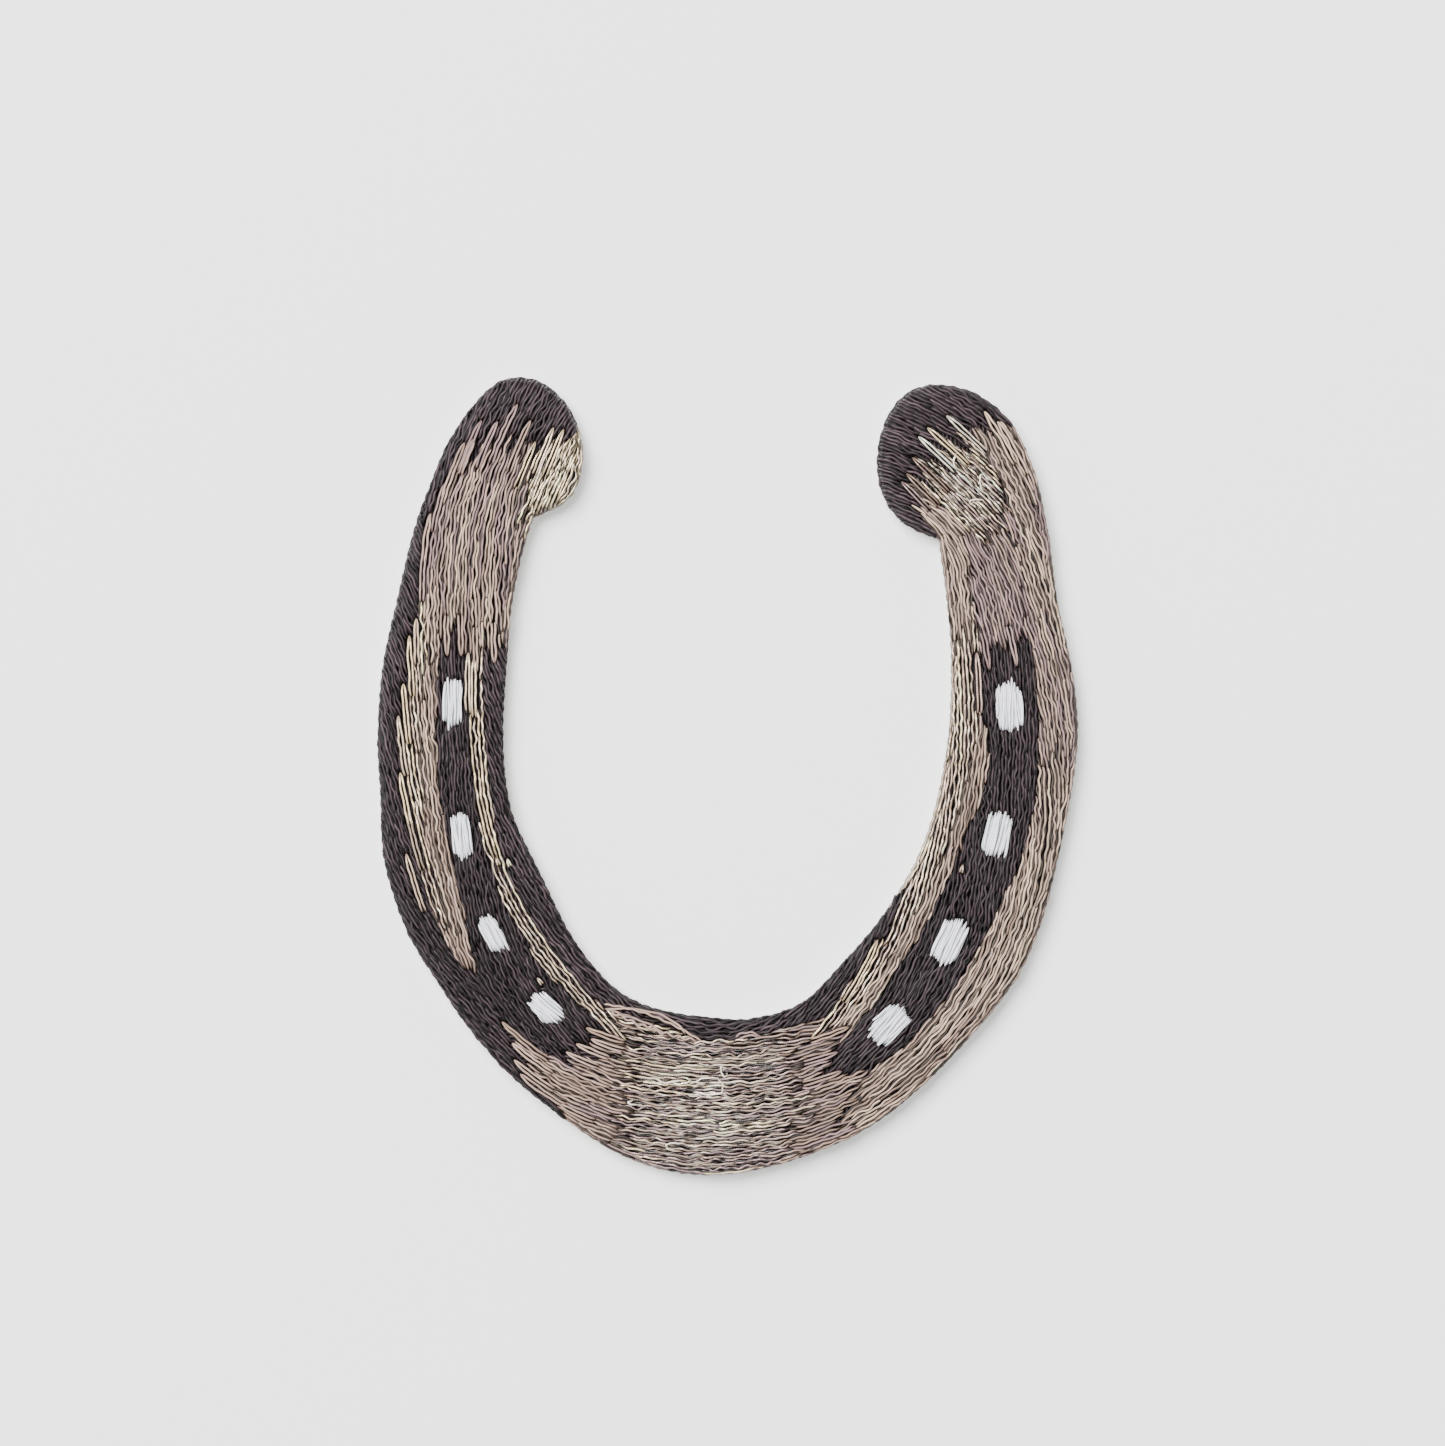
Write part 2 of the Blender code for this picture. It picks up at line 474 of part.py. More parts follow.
def add_pad(name, look, loops, base, thickness):
    """A closed pad with rounded top edges: the first loop is its rim, the others its holes."""
    mesh = bmesh.new()
    shoulder = base + thickness - ROUNDING
    levels = ((0.0, base), (0.0, shoulder), (ROUNDING, base + thickness))
    rings = []
    for number, loop in enumerate(loops):
        side = 1.0 if number == 0 else -1.0
        stack = []
        for shrink, height in levels:
            flat = inset(loop, side * shrink)
            stack.append([mesh.verts.new((p.x * MM, p.y * MM, height * MM)) for p in flat])
        rings.append(stack)
    for stack in rings:
        for lower, upper in zip(stack, stack[1:]):
            count = len(lower)
            for here in range(count):
                after = (here + 1) % count
                mesh.faces.new((lower[here], lower[after], upper[after], upper[here]))
    for level in (0, -1):
        borders = [stack[level] for stack in rings]
        corners = [vert for border in borders for vert in border]
        outlines = [[vert.co / MM for vert in border] for border in borders]
        for triple in tessellate_polygon(outlines):
            mesh.faces.new([corners[index] for index in triple])
    bmesh.ops.recalc_face_normals(mesh, faces=mesh.faces)
    data = bpy.data.meshes.new(name)
    mesh.to_mesh(data)
    mesh.free()
    data.materials.append(material(name, look))
    pad = bpy.data.objects.new(name, data)
    bpy.context.collection.objects.link(pad)
    return pad


def make_backing():
    """The felt that the applique lies on, and the trimmed linen that it is stitched to."""
    outline = region(OUTLINE)
    return [
        add_pad("backing_felt", FELT, [inset(outline, FELT_INSET)], 0.0, FELT_THICKNESS),
        add_pad("linen_ground", LINEN, [inset(outline, LINEN_INSET)], LINEN_BASE,
                LINEN_THICKNESS)]


def make_underlays():
    """Three blocks of dark stitches that raise the top layer."""
    return [
        add_pad(name, DARK, [inset(region(stretches), UNDERLAY_INSET)], UNDERLAY_BASE,
                UNDERLAY_THICKNESS)
        for name, stretches in UNDERLAYS.items()]


def make_fields():
    """The stitched fields, with openings in the crease for the nail holes."""
    pads = []
    for name, (look, stretches) in FIELDS.items():
        rim = inset(region(stretches), SEAM_HALF_GAP)
        holes = [
            inset(nail_hole_loop(*shape), -2.0 * SEAM_HALF_GAP)
            for holder, *shape in NAIL_HOLES.values() if holder == name]
        pads.append(add_pad(name, look, [rim] + holes, STITCH_BASE, STITCH_THICKNESS))
    return pads


def make_nail_holes():
    """The white satin patches that stand in the crease's openings."""
    return [
        add_pad(name, WHITE, [nail_hole_loop(*shape)], STITCH_BASE, STITCH_THICKNESS)
        for name, (_, *shape) in NAIL_HOLES.items()]


def centre_on_origin(pads):
    """Moves the meshes so that the object's box is centred over the origin."""
    spots = [vert.co for pad in pads for vert in pad.data.vertices]
    middle_x = 0.5 * (min(spot.x for spot in spots) + max(spot.x for spot in spots))
    middle_y = 0.5 * (min(spot.y for spot in spots) + max(spot.y for spot in spots))
    shift = Vector((-middle_x, -middle_y, 0.0))
    for pad in pads:
        for vert in pad.data.vertices:
            vert.co += shift


def main():
    clear_scene()
    pads = make_backing() + make_underlays() + make_fields() + make_nail_holes()
    centre_on_origin(pads)


main()
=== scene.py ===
"""Embroidered horseshoe applique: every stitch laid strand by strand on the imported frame.

Lengths in this script are millimetres until a mesh is made, and angles are degrees from +X.
"""

import math
from collections import deque, namedtuple

import bpy
import numpy as np
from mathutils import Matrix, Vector
from mathutils.geometry import tessellate_polygon


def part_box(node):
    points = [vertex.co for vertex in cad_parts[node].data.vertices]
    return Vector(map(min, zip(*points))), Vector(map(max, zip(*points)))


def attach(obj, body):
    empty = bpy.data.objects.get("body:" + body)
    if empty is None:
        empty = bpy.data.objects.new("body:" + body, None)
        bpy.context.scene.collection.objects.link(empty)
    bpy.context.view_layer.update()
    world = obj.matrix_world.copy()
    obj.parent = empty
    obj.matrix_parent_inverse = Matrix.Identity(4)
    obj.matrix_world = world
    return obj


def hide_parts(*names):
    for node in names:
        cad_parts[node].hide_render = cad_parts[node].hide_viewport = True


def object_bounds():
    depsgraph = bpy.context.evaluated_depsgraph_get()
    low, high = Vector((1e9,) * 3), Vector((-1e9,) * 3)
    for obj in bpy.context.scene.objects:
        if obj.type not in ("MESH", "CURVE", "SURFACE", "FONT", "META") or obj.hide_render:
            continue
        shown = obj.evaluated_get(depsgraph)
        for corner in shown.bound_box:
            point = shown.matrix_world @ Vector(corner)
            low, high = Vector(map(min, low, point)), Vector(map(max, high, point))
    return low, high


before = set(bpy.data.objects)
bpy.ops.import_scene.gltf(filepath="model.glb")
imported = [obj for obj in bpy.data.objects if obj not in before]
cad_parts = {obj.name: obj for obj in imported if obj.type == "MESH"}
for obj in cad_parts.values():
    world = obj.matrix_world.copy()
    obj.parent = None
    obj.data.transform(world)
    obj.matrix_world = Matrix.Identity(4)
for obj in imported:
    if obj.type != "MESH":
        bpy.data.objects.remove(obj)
CAD_LOW, CAD_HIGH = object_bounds()

MM = 0.001
CELL = 0.05          # raster cell
MARGIN = 2.0         # round the part
STEP = 0.25          # step along a stitch line
SEAM_CLOSING = 6     # cells that close a gap between CAD fields
DEPTH_CELLS = 32     # depth is measured this far in
EDGE_HEIGHT = 1.95   # centre of a strand at the outline
TOP_HEIGHT = 3.2     # centre of a strand on the crown
CROWN_WIDTH = 1.3    # how far in the crown is reached
EDGE_BAND = 0.9      # stitches follow the outline this close to it
EDGE_TURN = math.radians(32)  # and turn no more than this to do so
RIM_STEP = 0.2       # step along the outline's own stitches
FLATNESS = 0.95      # height of a strand over its width
TWIST = 1.1          # length of one turn of a strand's fibres
OVERLAP = 0.7        # a stitch starts this far back under the last one
CLOTH_STEP = 0.5     # step along the edge of a cloth layer
PROFILE = np.radians((10, 45, 90, 135, 170, 235, 305))  # corners of a strand's section
VIEW_WIDTH = 0.1445  # metres across the picture
VIEW_DISTANCE = 0.6  # metres from the camera to the part
FLOOR_HALF = 0.6     # metres
MOST_POINTS = 600    # in half a stitch line
FEW_POINTS = 50      # outlines with fewer points than this are filled in first
FIRST_PATCH = 100    # label of the first satin patch, above the fields' labels

# Thread colours, sRGB.
MAUVE = (0.65, 0.545, 0.523)
ROSE = (0.59, 0.485, 0.478)
TAUPE = (0.72, 0.607, 0.549)
BEIGE = (0.81, 0.700, 0.610)
SAND = (0.63, 0.522, 0.459)
GOLD = (1.00, 0.885, 0.71)
# palest gold thread; the same colour is painted along gold strands as glints, a painted highlight
PALE_GOLD_AND_GLINT = (1.00, 0.95, 0.86)
CREAM = (0.93, 0.83, 0.71)
DARK = (0.250, 0.205, 0.218)
PLUM = (0.305, 0.252, 0.268)
SOOT = (0.205, 0.166, 0.178)
WHITE = (0.93, 0.935, 0.96)
# painted shade: the near-black of the padding's bed, for the shadow in the gaps between strands
SHADE = (0.09, 0.065, 0.06)
FELT = (0.90, 0.88, 0.84)
FELT_SHADE = (0.72, 0.70, 0.66)
LINEN = (0.94, 0.94, 0.93)
LINEN_SHADE = (0.80, 0.80, 0.79)
FLOOR = (0.97, 0.97, 0.97)

# How a strand ends: free on the top, under its neighbours, or down through the cloth.
FREE, UNDER, EDGE = 0, 1, 2

# Pitch and radius of the strands, shortest and longest stitch, how far one strand sways and all
# wander together, length of a spot, how dim the dim ones are, share of bright ones, which are
# painted glints.
Kind = namedtuple("Kind", "pitch radius shortest longest wobble wander spot dim bright")
KINDS = {
    "gold": Kind(0.325, 0.121, 4.0, 8.0, 0.026, 0.045, 0.32, 0.58, 0.55),
    "cord": Kind(0.37, 0.132, 7.0, 14.0, 0.030, 0.045, 0.60, 0.30, 0.7),
    "light": Kind(0.335, 0.136, 3.5, 9.0, 0.034, 0.15, 0.90, 0.28, 0.0),
    "toe": Kind(0.335, 0.118, 4.0, 10.0, 0.036, 0.16, 0.80, 0.62, 0.95),
    "dark": Kind(0.335, 0.150, 2.5, 6.5, 0.045, 0.11, 0.55, 0.40, 0.0),
}
# node: how far its stitches may stop short of a field of the other tone
RETREATS = {
    "right_heel_gold": 4.0, "left_web_mauve": 3.4, "toe_left_taupe": 3.4,
    "left_outer_stripe_taupe": 0.6, "left_inner_gold": 0.8, "right_inner_gold": 0.8}

# node: (kind, axis the angles run along, angles, colours at the start, colours at the end if
# they are others); the last word of a node's name is its thread
FIELDS = {
    "left_heel_gold": ("gold", "y", (68, 66), (GOLD, GOLD, CREAM), (GOLD,)),
    "left_outer_gold": ("cord", "y", (91, 95, 98, 104, 108), (GOLD, CREAM), (GOLD, BEIGE)),
    "left_inner_gold": ("cord", "y", (88, 92, 96, 106, 118, 128, 132), (GOLD, CREAM),
        (CREAM, BEIGE)),
    "right_heel_gold": ("gold", "y", (138, 136, 132), (GOLD, PALE_GOLD_AND_GLINT, CREAM, SAND),
        (CREAM, SAND, TAUPE, MAUVE)),
    "right_inner_gold": ("cord", "y", (95, 92, 88, 84, 80, 75, 68, 60, 52), (BEIGE, CREAM),
        (GOLD, BEIGE, TAUPE)),
    "toe_centre_gold": ("toe", "x", (170, 177, 183, 190), (CREAM, SAND, TAUPE, ROSE, GOLD),
        (CREAM, TAUPE, SAND, MAUVE, ROSE)),
    "left_web_mauve": ("light", "y", (64, 72, 84, 90, 92), (MAUVE, ROSE, TAUPE), (TAUPE, BEIGE)),
    "left_outer_stripe_taupe": ("light", "y", (90, 93, 98, 100, 106, 112), (TAUPE, BEIGE),
        (TAUPE, SAND)),
    "toe_left_taupe": ("light", "x", (137, 146, 155, 163, 169), (TAUPE, SAND), (TAUPE, SAND, ROSE)),
    "toe_right_mauve": ("light", "x", (190, 196, 202), (MAUVE, SAND), (TAUPE, ROSE, SAND)),
    "right_outer_band_lower_beige": ("light", "y", (95, 86, 78, 70, 60, 48, 36, 28),
        (TAUPE, BEIGE), (BEIGE, SAND)),
    "right_outer_band_upper_beige": ("light", "y", (122, 116, 112, 108, 106, 104, 100, 95),
        (BEIGE, TAUPE), (TAUPE, ROSE)),
    "right_web_mauve": ("light", "y", (128, 118, 110, 104, 100), (TAUPE, ROSE), (MAUVE, ROSE)),
    "right_inner_band_taupe": ("light", "y", (152, 140, 118, 102, 98, 96, 95), (TAUPE, BEIGE),
        (BEIGE, TAUPE)),
    "right_lower_band_taupe": ("light", "y", (86, 84, 82, 78, 72, 66, 58, 50), (TAUPE, SAND),
        (TAUPE, BEIGE)),
    "left_heel_cap_dark": ("dark", "x", (75, 66, 62, 60), (DARK, PLUM)),
    "left_outer_border_dark": ("dark", "y", (112, 116, 116, 110, 106, 106, 112, 122, 130),
        (DARK, PLUM), (DARK, SOOT)),
    "left_crease_upper_dark": ("dark", "y", (95, 92, 96, 102), (DARK, SOOT)),
    "left_crease_lower_dark": ("dark", "y", (103, 112, 124, 135), (DARK, SOOT)),
    "left_lower_outer_dark": ("dark", "y", (128, 132, 138, 142), (DARK, SOOT)),
    "left_inner_border_dark": ("dark", "y", (108, 110, 110, 115, 122, 130, 138), (DARK, PLUM)),
    "toe_inner_border_dark": ("dark", "x", (152, 158, 168, 190, 215), (DARK, SOOT), (DARK, PLUM)),
    "right_inner_border_dark": ("dark", "y", (72, 66, 60, 52, 45), (DARK, SOOT)),
    "right_crease_upper_dark": ("dark", "y", (97, 93, 90, 84, 80), (DARK, SOOT)),
    "right_crease_lower_dark": ("dark", "y", (78, 72, 66, 58, 48, 42), (DARK, SOOT)),
    "right_heel_cap_dark": ("dark", "x", (158, 155, 150, 145, 132), (DARK, PLUM)),
}
FIELD_IDS = {node: i + 1 for i, node in enumerate(FIELDS)}

# node: grain angle of the satin patch, from the heel to the toe
PATCHES = {
    f"{side}_nail_hole_{i + 1}": angle
    for side, angles in (("left", (90, 98, 118, 138)), ("right", (92, 76, 66, 48)))
    for i, angle in enumerate(angles)}
PATCH_IDS = {node: FIRST_PATCH + i for i, node in enumerate(PATCHES)}
# label: whether it is dark, as the patches are taken to be
IS_DARK = [False] + [spec[0] == "dark" for spec in FIELDS.values()] + [True] * FIRST_PATCH
UNDERLAYS = ("underlay_left_branch", "underlay_toe", "underlay_right_branch")

# node: tips of single light stitches that run out into the dark, as (x, y, length)
TIPS = {
    "left_web_mauve": (
        (-21, 37.2, 6.5), (-24.6, 35.5, 5.5), (-23, 35.4, 5), (-19.7, 35.5, 5.5),
        (-26.3, 33.3, 4.5), (-25.2, 33.9, 4), (-27.1, 31.5, 4.5), (-28.2, 29.3, 5),
        (-29.7, 26.2, 5), (-30.3, 22.5, 5), (-31.1, 15.7, 4.5), (-28, 12, -4),
        (-26.6, 12, -4), (-25.1, 10.3, -4.5), (-23.3, 11.3, -4)),
    "left_heel_gold": ((-17.4, 34.8, 5), (-16.4, 34.6, 5), (-19.2, 33.4, 5)),
    "left_outer_gold": (
        (-31.8, 14, 6), (-32.4, 9.2, 6), (-32.9, 6, 6), (-32.7, 0.3, 6),
        (-32, -3.6, 6), (-32.1, -7.8, 6)),
    "left_inner_gold": (
        (-25.9, 12.3, 6), (-25.3, 11.9, 6), (-22, -8.3, 0.7), (-23.1, -8.2, 0.6),
        (-19, -20.2, 0.7)),
    "right_heel_gold": (
        (21.9, 36, 5.5), (20, 34.8, 5.5), (19.1, 33.9, 5), (18.5, 31.8, 5),
        (17.9, 30.2, 4.5), (17.4, 29.4, 4)),
    "right_outer_band_upper_beige": ((25.7, 36.4, 6), (27, 35.4, 6)),
    "right_inner_gold": ((24.9, 12.3, 6), (15, -16.4, 7), (23.5, -8.9, 0.7)),
    "right_web_mauve": ((26.2, 10.6, -4), (28.9, 11, -4)),
    "toe_left_taupe": (
        (-22.5, -24.6, 6), (-21.5, -26.7, 5), (-21.3, -28.4, 5), (-20.7, -29.8, 5.5),
        (-16.9, -32.7, 4), (-14.1, -25.2, 4), (-13.6, -26.3, 3.5), (-15.1, -26.8, 3.5),
        (-16.1, -27.6, 3.5)),
    "toe_right_mauve": ((12.1, -25.1, 4), (11, -27.6, 3.5), (11.4, -29.5, 4)),
}

# node: loose curls of thread on top, as (x, y, half width, half height, start angle, sweep)
CURLS = {
    "toe_centre_gold": (
        (-2, -31, 1.7, 0.85, -150, 330), (-4.7, -30.4, 0.9, 0.35, 200, 260),
        (-0.3, -29.4, 0.35, 0.6, 90, 240), (-1, -31.9, 0.9, 0.22, 0, 250),
        (-7.4, -30.4, 1.2, 0.25, 180, 170), (-5.1, -37, 1.1, 0.35, 30, 250),
        (-9, -32.6, 0.9, 0.25, 100, 200)),
    "right_heel_gold": (
        (24.9, 27.3, 0.7, 0.35, 0, 270), (25.5, 29.4, 0.3, 0.8, 60, 240),
        (22.9, 31.4, 0.3, 0.8, 80, 220)),
}

# node: single strands over the dark, bowed from one end by way of a middle point to the other
STRAYS = {
    "toe_left_taupe": (
        (-12.6, -22.8, -7.5, -23.2, -2.4, -26.6), (-11.8, -23.4, -7.6, -25.6, -3, -26.5),
        (-12.2, -23.2, -5.8, -23, -4.2, -25.8), (-11, -23.8, -8.2, -24.2, -6, -26)),
    "toe_right_mauve": (
        (0.5, -26.3, 1.9, -25, 3.5, -26.1), (0.9, -26.5, 2.1, -25.4, 3.3, -26.3)),
}


# ---------------- raster of the fields
LOW = np.array([CAD_LOW.x, CAD_LOW.y]) / MM - MARGIN
HIGH = np.array([CAD_HIGH.x, CAD_HIGH.y]) / MM + MARGIN
WIDE, TALL = (int(n) for n in np.ceil((HIGH - LOW) / CELL))


def cell(x, y):
    return int((y - LOW[1]) / CELL), int((x - LOW[0]) / CELL)


def centre_of(row, column):
    return LOW[0] + (column + 0.5) * CELL, LOW[1] + (row + 0.5) * CELL


def mesh_of(node):
    """The CAD node's points, and its triangles as rows of three point numbers."""
    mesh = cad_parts[node].data
    mesh.calc_loop_triangles()
    points = np.array([v.co for v in mesh.vertices]) / MM
    return points, np.array([t.vertices[:] for t in mesh.loop_triangles])


def twice_area(a, b, c):
    """Twice the area of flat triangles, and negative where they face down."""
    u, v = b - a, c - a
    return u[..., 0] * v[..., 1] - u[..., 1] * v[..., 0]


def upward_triangles(node):
    """The CAD node's triangles that face up, seen from above."""
    points, triangles = mesh_of(node)
    triangles = points[triangles, :2]
    return triangles[twice_area(*triangles.transpose(1, 0, 2)) > 1e-4]


def paint(grid, node, value):
    """Sets the raster cells under the node to value."""
    for triangle in upward_triangles(node):
        low = np.floor((triangle.min(0) - LOW) / CELL).astype(int)
        high = np.ceil((triangle.max(0) - LOW) / CELL).astype(int) + 1
        x, y = centre_of(np.arange(low[1], high[1])[:, None], np.arange(low[0], high[0]))
        inside = np.ones((len(y), len(x)), bool)
        for p, q in zip(triangle, np.roll(triangle, -1, 0)):
            inside &= (q[0] - p[0]) * (y - p[1]) - (q[1] - p[1]) * (x - p[0]) >= -1e-9
        grid[low[1]:high[1], low[0]:high[0]][inside] = value


def grown(mask, steps=1, first=0):
    """The mask with that many cells added all round, as an octagon grows."""
    straight = ((1, 0), (-1, 0), (0, 1), (0, -1))
    slanted = ((1, 1), (-1, -1), (1, -1), (-1, 1))
    for i in range(first, first + steps):
        moves = straight + slanted * (i % 2)
        mask = np.logical_or.reduce([mask] + [np.roll(mask, move, (0, 1)) for move in moves])
    return mask


def spread_labels(grid, mask, steps):
    """Each empty cell of the mask takes a neighbour's label."""
    for _ in range(steps):
        for shift, axis in ((1, 0), (-1, 0), (1, 1), (-1, 1)):
            moved = np.roll(grid, shift, axis)
            empty = (grid == 0) & mask
            grid[empty] = moved[empty]


def raster_fields():
    """The label of each cell, the whole outline and the distance from it."""
    grid = np.zeros((TALL, WIDE), np.int32)
    for node, value in {**FIELD_IDS, **PATCH_IDS}.items():
        paint(grid, node, value)
    whole = ~grown(~grown(grid > 0, SEAM_CLOSING), SEAM_CLOSING)
    whole = grown(whole, 3)
    spread_labels(grid, whole, 10)
    distance = np.zeros(grid.shape, np.float32)
    inner = whole
    for i in range(DEPTH_CELLS):
        inner = ~grown(~inner, 1, i)
        distance += inner * CELL
    for _ in range(2):
        distance = (distance + sum(
            np.roll(distance, shift, axis) for shift in (1, -1) for axis in (0, 1))) / 5
    return grid, whole, distance


LABELS, WHOLE, DEPTH = raster_fields()
SLOPE_Y, SLOPE_X = np.gradient(DEPTH)
# Where no line may run, no line may start, no gap filler may run and none may start.
TAKEN, CROWDED, NARROW, FILLED = np.zeros((4, TALL, WIDE), bool)


def depths(points):
    """Distance from the outline at each point."""
    cells = np.clip(((points - LOW) / CELL).astype(int), 0, (WIDE - 1, TALL - 1))
    return DEPTH[cells[:, 1], cells[:, 0]]


def stamp(grid, line, radius):
    """Marks the raster cells within that distance of the line."""
    r = math.ceil(radius / CELL)
    down, over = np.mgrid[-r:r + 1, -r:r + 1]
    brush = over * over + down * down <= (radius / CELL) ** 2
    for x, y in line:
        row, column = cell(x, y)
        if r <= row < TALL - r and r <= column < WIDE - r:
            grid[row - r:row + r + 1, column - r:column + r + 1] |= brush


# ---------------- stitch lines
def smooth(t):
    """From 0 to 1 with soft ends, as t goes from 0 to 1."""
    t = np.clip(t, 0.0, 1.0)
    return t * t * (3 - 2 * t)


def crown(depth):
    """Height of the thread layer at a distance from the outline."""
    t = np.clip(depth / CROWN_WIDTH, 0.0, 1.0)
    return EDGE_HEIGHT + (TOP_HEIGHT - EDGE_HEIGHT) * np.sqrt(1 - (1 - t) ** 2)


class Grain:
    """One field's stitch direction, which turns along the outline close to it."""

    def __init__(self, node):
        kind, axis, angles = FIELDS[node][:3]
        low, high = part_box(node)
        self.axis = "xy".index(axis)
        ends = (low.x, high.x) if axis == "x" else (high.y, low.y)
        self.start, self.end = (end / MM for end in ends)
        self.angles = [math.radians(a) for a in angles]
        self.own = FIELD_IDS[node]
        self.kind = kind
        self.pitch = KINDS[kind].pitch
        self.retreat = RETREATS.get(node, 1.6)

    def share(self, x, y):
        value = (x, y)[self.axis]
        return min(max((value - self.start) / (self.end - self.start), 0.0), 1.0)

    def at(self, x, y):
        place = self.share(x, y) * (len(self.angles) - 1)
        i = min(int(place), len(self.angles) - 2)
        angle = self.angles[i] + (self.angles[i + 1] - self.angles[i]) * (place - i)
        row, column = cell(x, y)
        depth = DEPTH[row, column]
        if self.kind == "dark" or depth > EDGE_BAND:
            return angle
        edge = math.atan2(SLOPE_X[row, column], -SLOPE_Y[row, column])
        off = (edge - angle + math.pi / 2) % math.pi - math.pi / 2
        if abs(off) > EDGE_TURN:
            return angle
        return angle + off * min((EDGE_BAND - depth) / 0.5, 1.0)


def ahead(x, y, angle, way):
    return x + way * math.cos(angle), y + way * math.sin(angle)


def unit(heading):
    return heading / np.maximum(np.linalg.norm(heading, axis=-1, keepdims=True), 1e-9)


def left_of(heading):
    """The direction a quarter turn to the left."""
    return np.stack([-heading[..., 1], heading[..., 0]], -1)


def scallop(x, y):
    """How far inside the outline a stitch ends: groups of strands share a hole in the cloth."""
    return 0.12 + 0.06 * math.sin(5.3 * (x + 0.8 * y)) * math.sin(2.1 * (y - x) + 1.0)


def feather(x, y, angle):
    """How much of its field's retreat a stitch takes, the same for all stitches in one lane."""
    lane = math.cos(angle) * y - math.sin(angle) * x
    return 0.62 + 0.38 * math.sin(7.3 * lane + 1.7 * math.sin(2.9 * lane))


def trace(x, y, grain, reach, taken):
    """The line through a point along the grain, until it meets another or runs out of the field.

    The second value says how each end stops. A light stitch stops short of a dark field, and there
    is no line at all where the point itself lies in that bare strip.
    """
    halves = []
    dark = grain.kind == "dark"
    for way, limit in zip((STEP, -STEP), reach):
        px, py, outside = x, y, 0.0
        stop, alike, points = FREE, True, []
        while len(points) < MOST_POINTS:
            angle = grain.at(*ahead(px, py, grain.at(px, py), way / 2))
            nx, ny = ahead(px, py, angle, way)
            row, column = cell(nx, ny)
            if not WHOLE[row, column] or DEPTH[row, column] < scallop(nx, ny):
                stop = EDGE
                break
            if taken[row, column]:
                stop = UNDER
                break
            if LABELS[row, column] != grain.own:
                alike = IS_DARK[LABELS[row, column]] == dark
                outside += STEP
                if outside > (limit * 1.4 + 0.6 if alike else limit * dark):
                    break
            points.append((nx, ny))
            px, py = nx, ny
        if stop == FREE and not alike and not dark:
            kept = len(points) - int(grain.retreat * feather(nx, ny, angle) / STEP)
            if kept < 0:
                return None, None
            points = points[:kept]
        halves.append((points, stop))
    line = np.array(halves[1][0][::-1] + [(x, y)] + halves[0][0])
    return line, (halves[1][1], halves[0][1])


def beyond(line):
    """Two more points past the end of a line."""
    return line[-1] + unit(line[-1] - line[-3]) * STEP * np.array([[1.0], [2.0]])


def laid(line, ends, deep, pitch):
    """Takes up a line's place; each end that met another line is carried on under it."""
    stamp(NARROW, line, pitch * 0.42)
    stamp(FILLED, line, pitch * 0.56)
    before = beyond(line[::-1])[::-1] if ends[0] == UNDER else line[:0]
    after = beyond(line) if ends[1] == UNDER else line[:0]
    return np.concatenate([before, line, after]), ends, deep


def lay_lines(node, rng):
    """Evenly spaced strand lines over one field, each new one beside the last."""
    grain = Grain(node)
    own, pitch = grain.own, grain.pitch
    rows, columns = np.nonzero((LABELS == own) & (DEPTH > 0.12))
    xs, ys = centre_of(rows, columns)
    mean = sum(grain.angles) / len(grain.angles)
    lines = []
    for i in np.argsort(-math.sin(mean) * xs + math.cos(mean) * ys):
        if CROWDED[rows[i], columns[i]]:
            continue
        waiting = deque([(xs[i], ys[i])])
        while waiting:
            x, y = waiting.popleft()
            row, column = cell(x, y)
            if CROWDED[row, column] or LABELS[row, column] != own or DEPTH[row, column] <= 0.1:
                continue
            reach = rng.uniform(*((1.5, 4.5) if grain.kind == "dark" else (0.2, 2.4)), 2)
            line, ends = trace(x, y, grain, reach, TAKEN)
            if line is None or len(line) * STEP < 1.2:
                CROWDED[row - 2:row + 3, column - 2:column + 3] = True
                continue
            lines.append(laid(line, ends, 0, pitch))
            stamp(TAKEN, line, pitch * 0.66)
            stamp(CROWDED, line, pitch * rng.uniform(0.88, 0.98))
            across = left_of(np.gradient(line, axis=0) / STEP)[::5] * pitch * 1.03
            waiting.extend(map(tuple, line[::5] + across))
            waiting.extend(map(tuple, line[::5] - across))
    return grain, lines + fill_gaps(grain)


def fill_gaps(grain):
    """Lines of thinner, lower strands in the gaps that open where the others part."""
    lines = []
    gaps = (LABELS == grain.own) & (DEPTH > 0.15) & ~FILLED & (grain.kind != "cord")
    for row, column in np.argwhere(gaps):
        if FILLED[row, column]:
            continue
        line, ends = trace(*centre_of(row, column), grain, (0.4, 0.4), NARROW)
        if line is None or len(line) * STEP < 0.9:
            FILLED[row - 1:row + 2, column - 1:column + 2] = True
            continue
        lines.append(laid(line, ends, 1, grain.pitch))
    return lines


def run_length(line):
    """The distance along a line at each of its points."""
    return np.concatenate(([0.0], np.cumsum(np.linalg.norm(np.diff(line, axis=0), axis=1))))


def placed(line, at):
    """The points at some distances along a line."""
    length = run_length(line)
    return np.stack([np.interp(at, length, line[:, i]) for i in (0, 1)], 1)


def length_of(line):
    """The whole length of a line."""
    return float(np.hypot(*np.diff(line, axis=0).T).sum())


def from_end(at):
    """How far each place along a strand is from its nearer end."""
    return np.minimum(at - at[0], at[-1] - at)


def along(line, at):
    """Points and normals of a line at some distances along it."""
    points = placed(line, at)
    return points, left_of(unit(np.gradient(points, axis=0)))


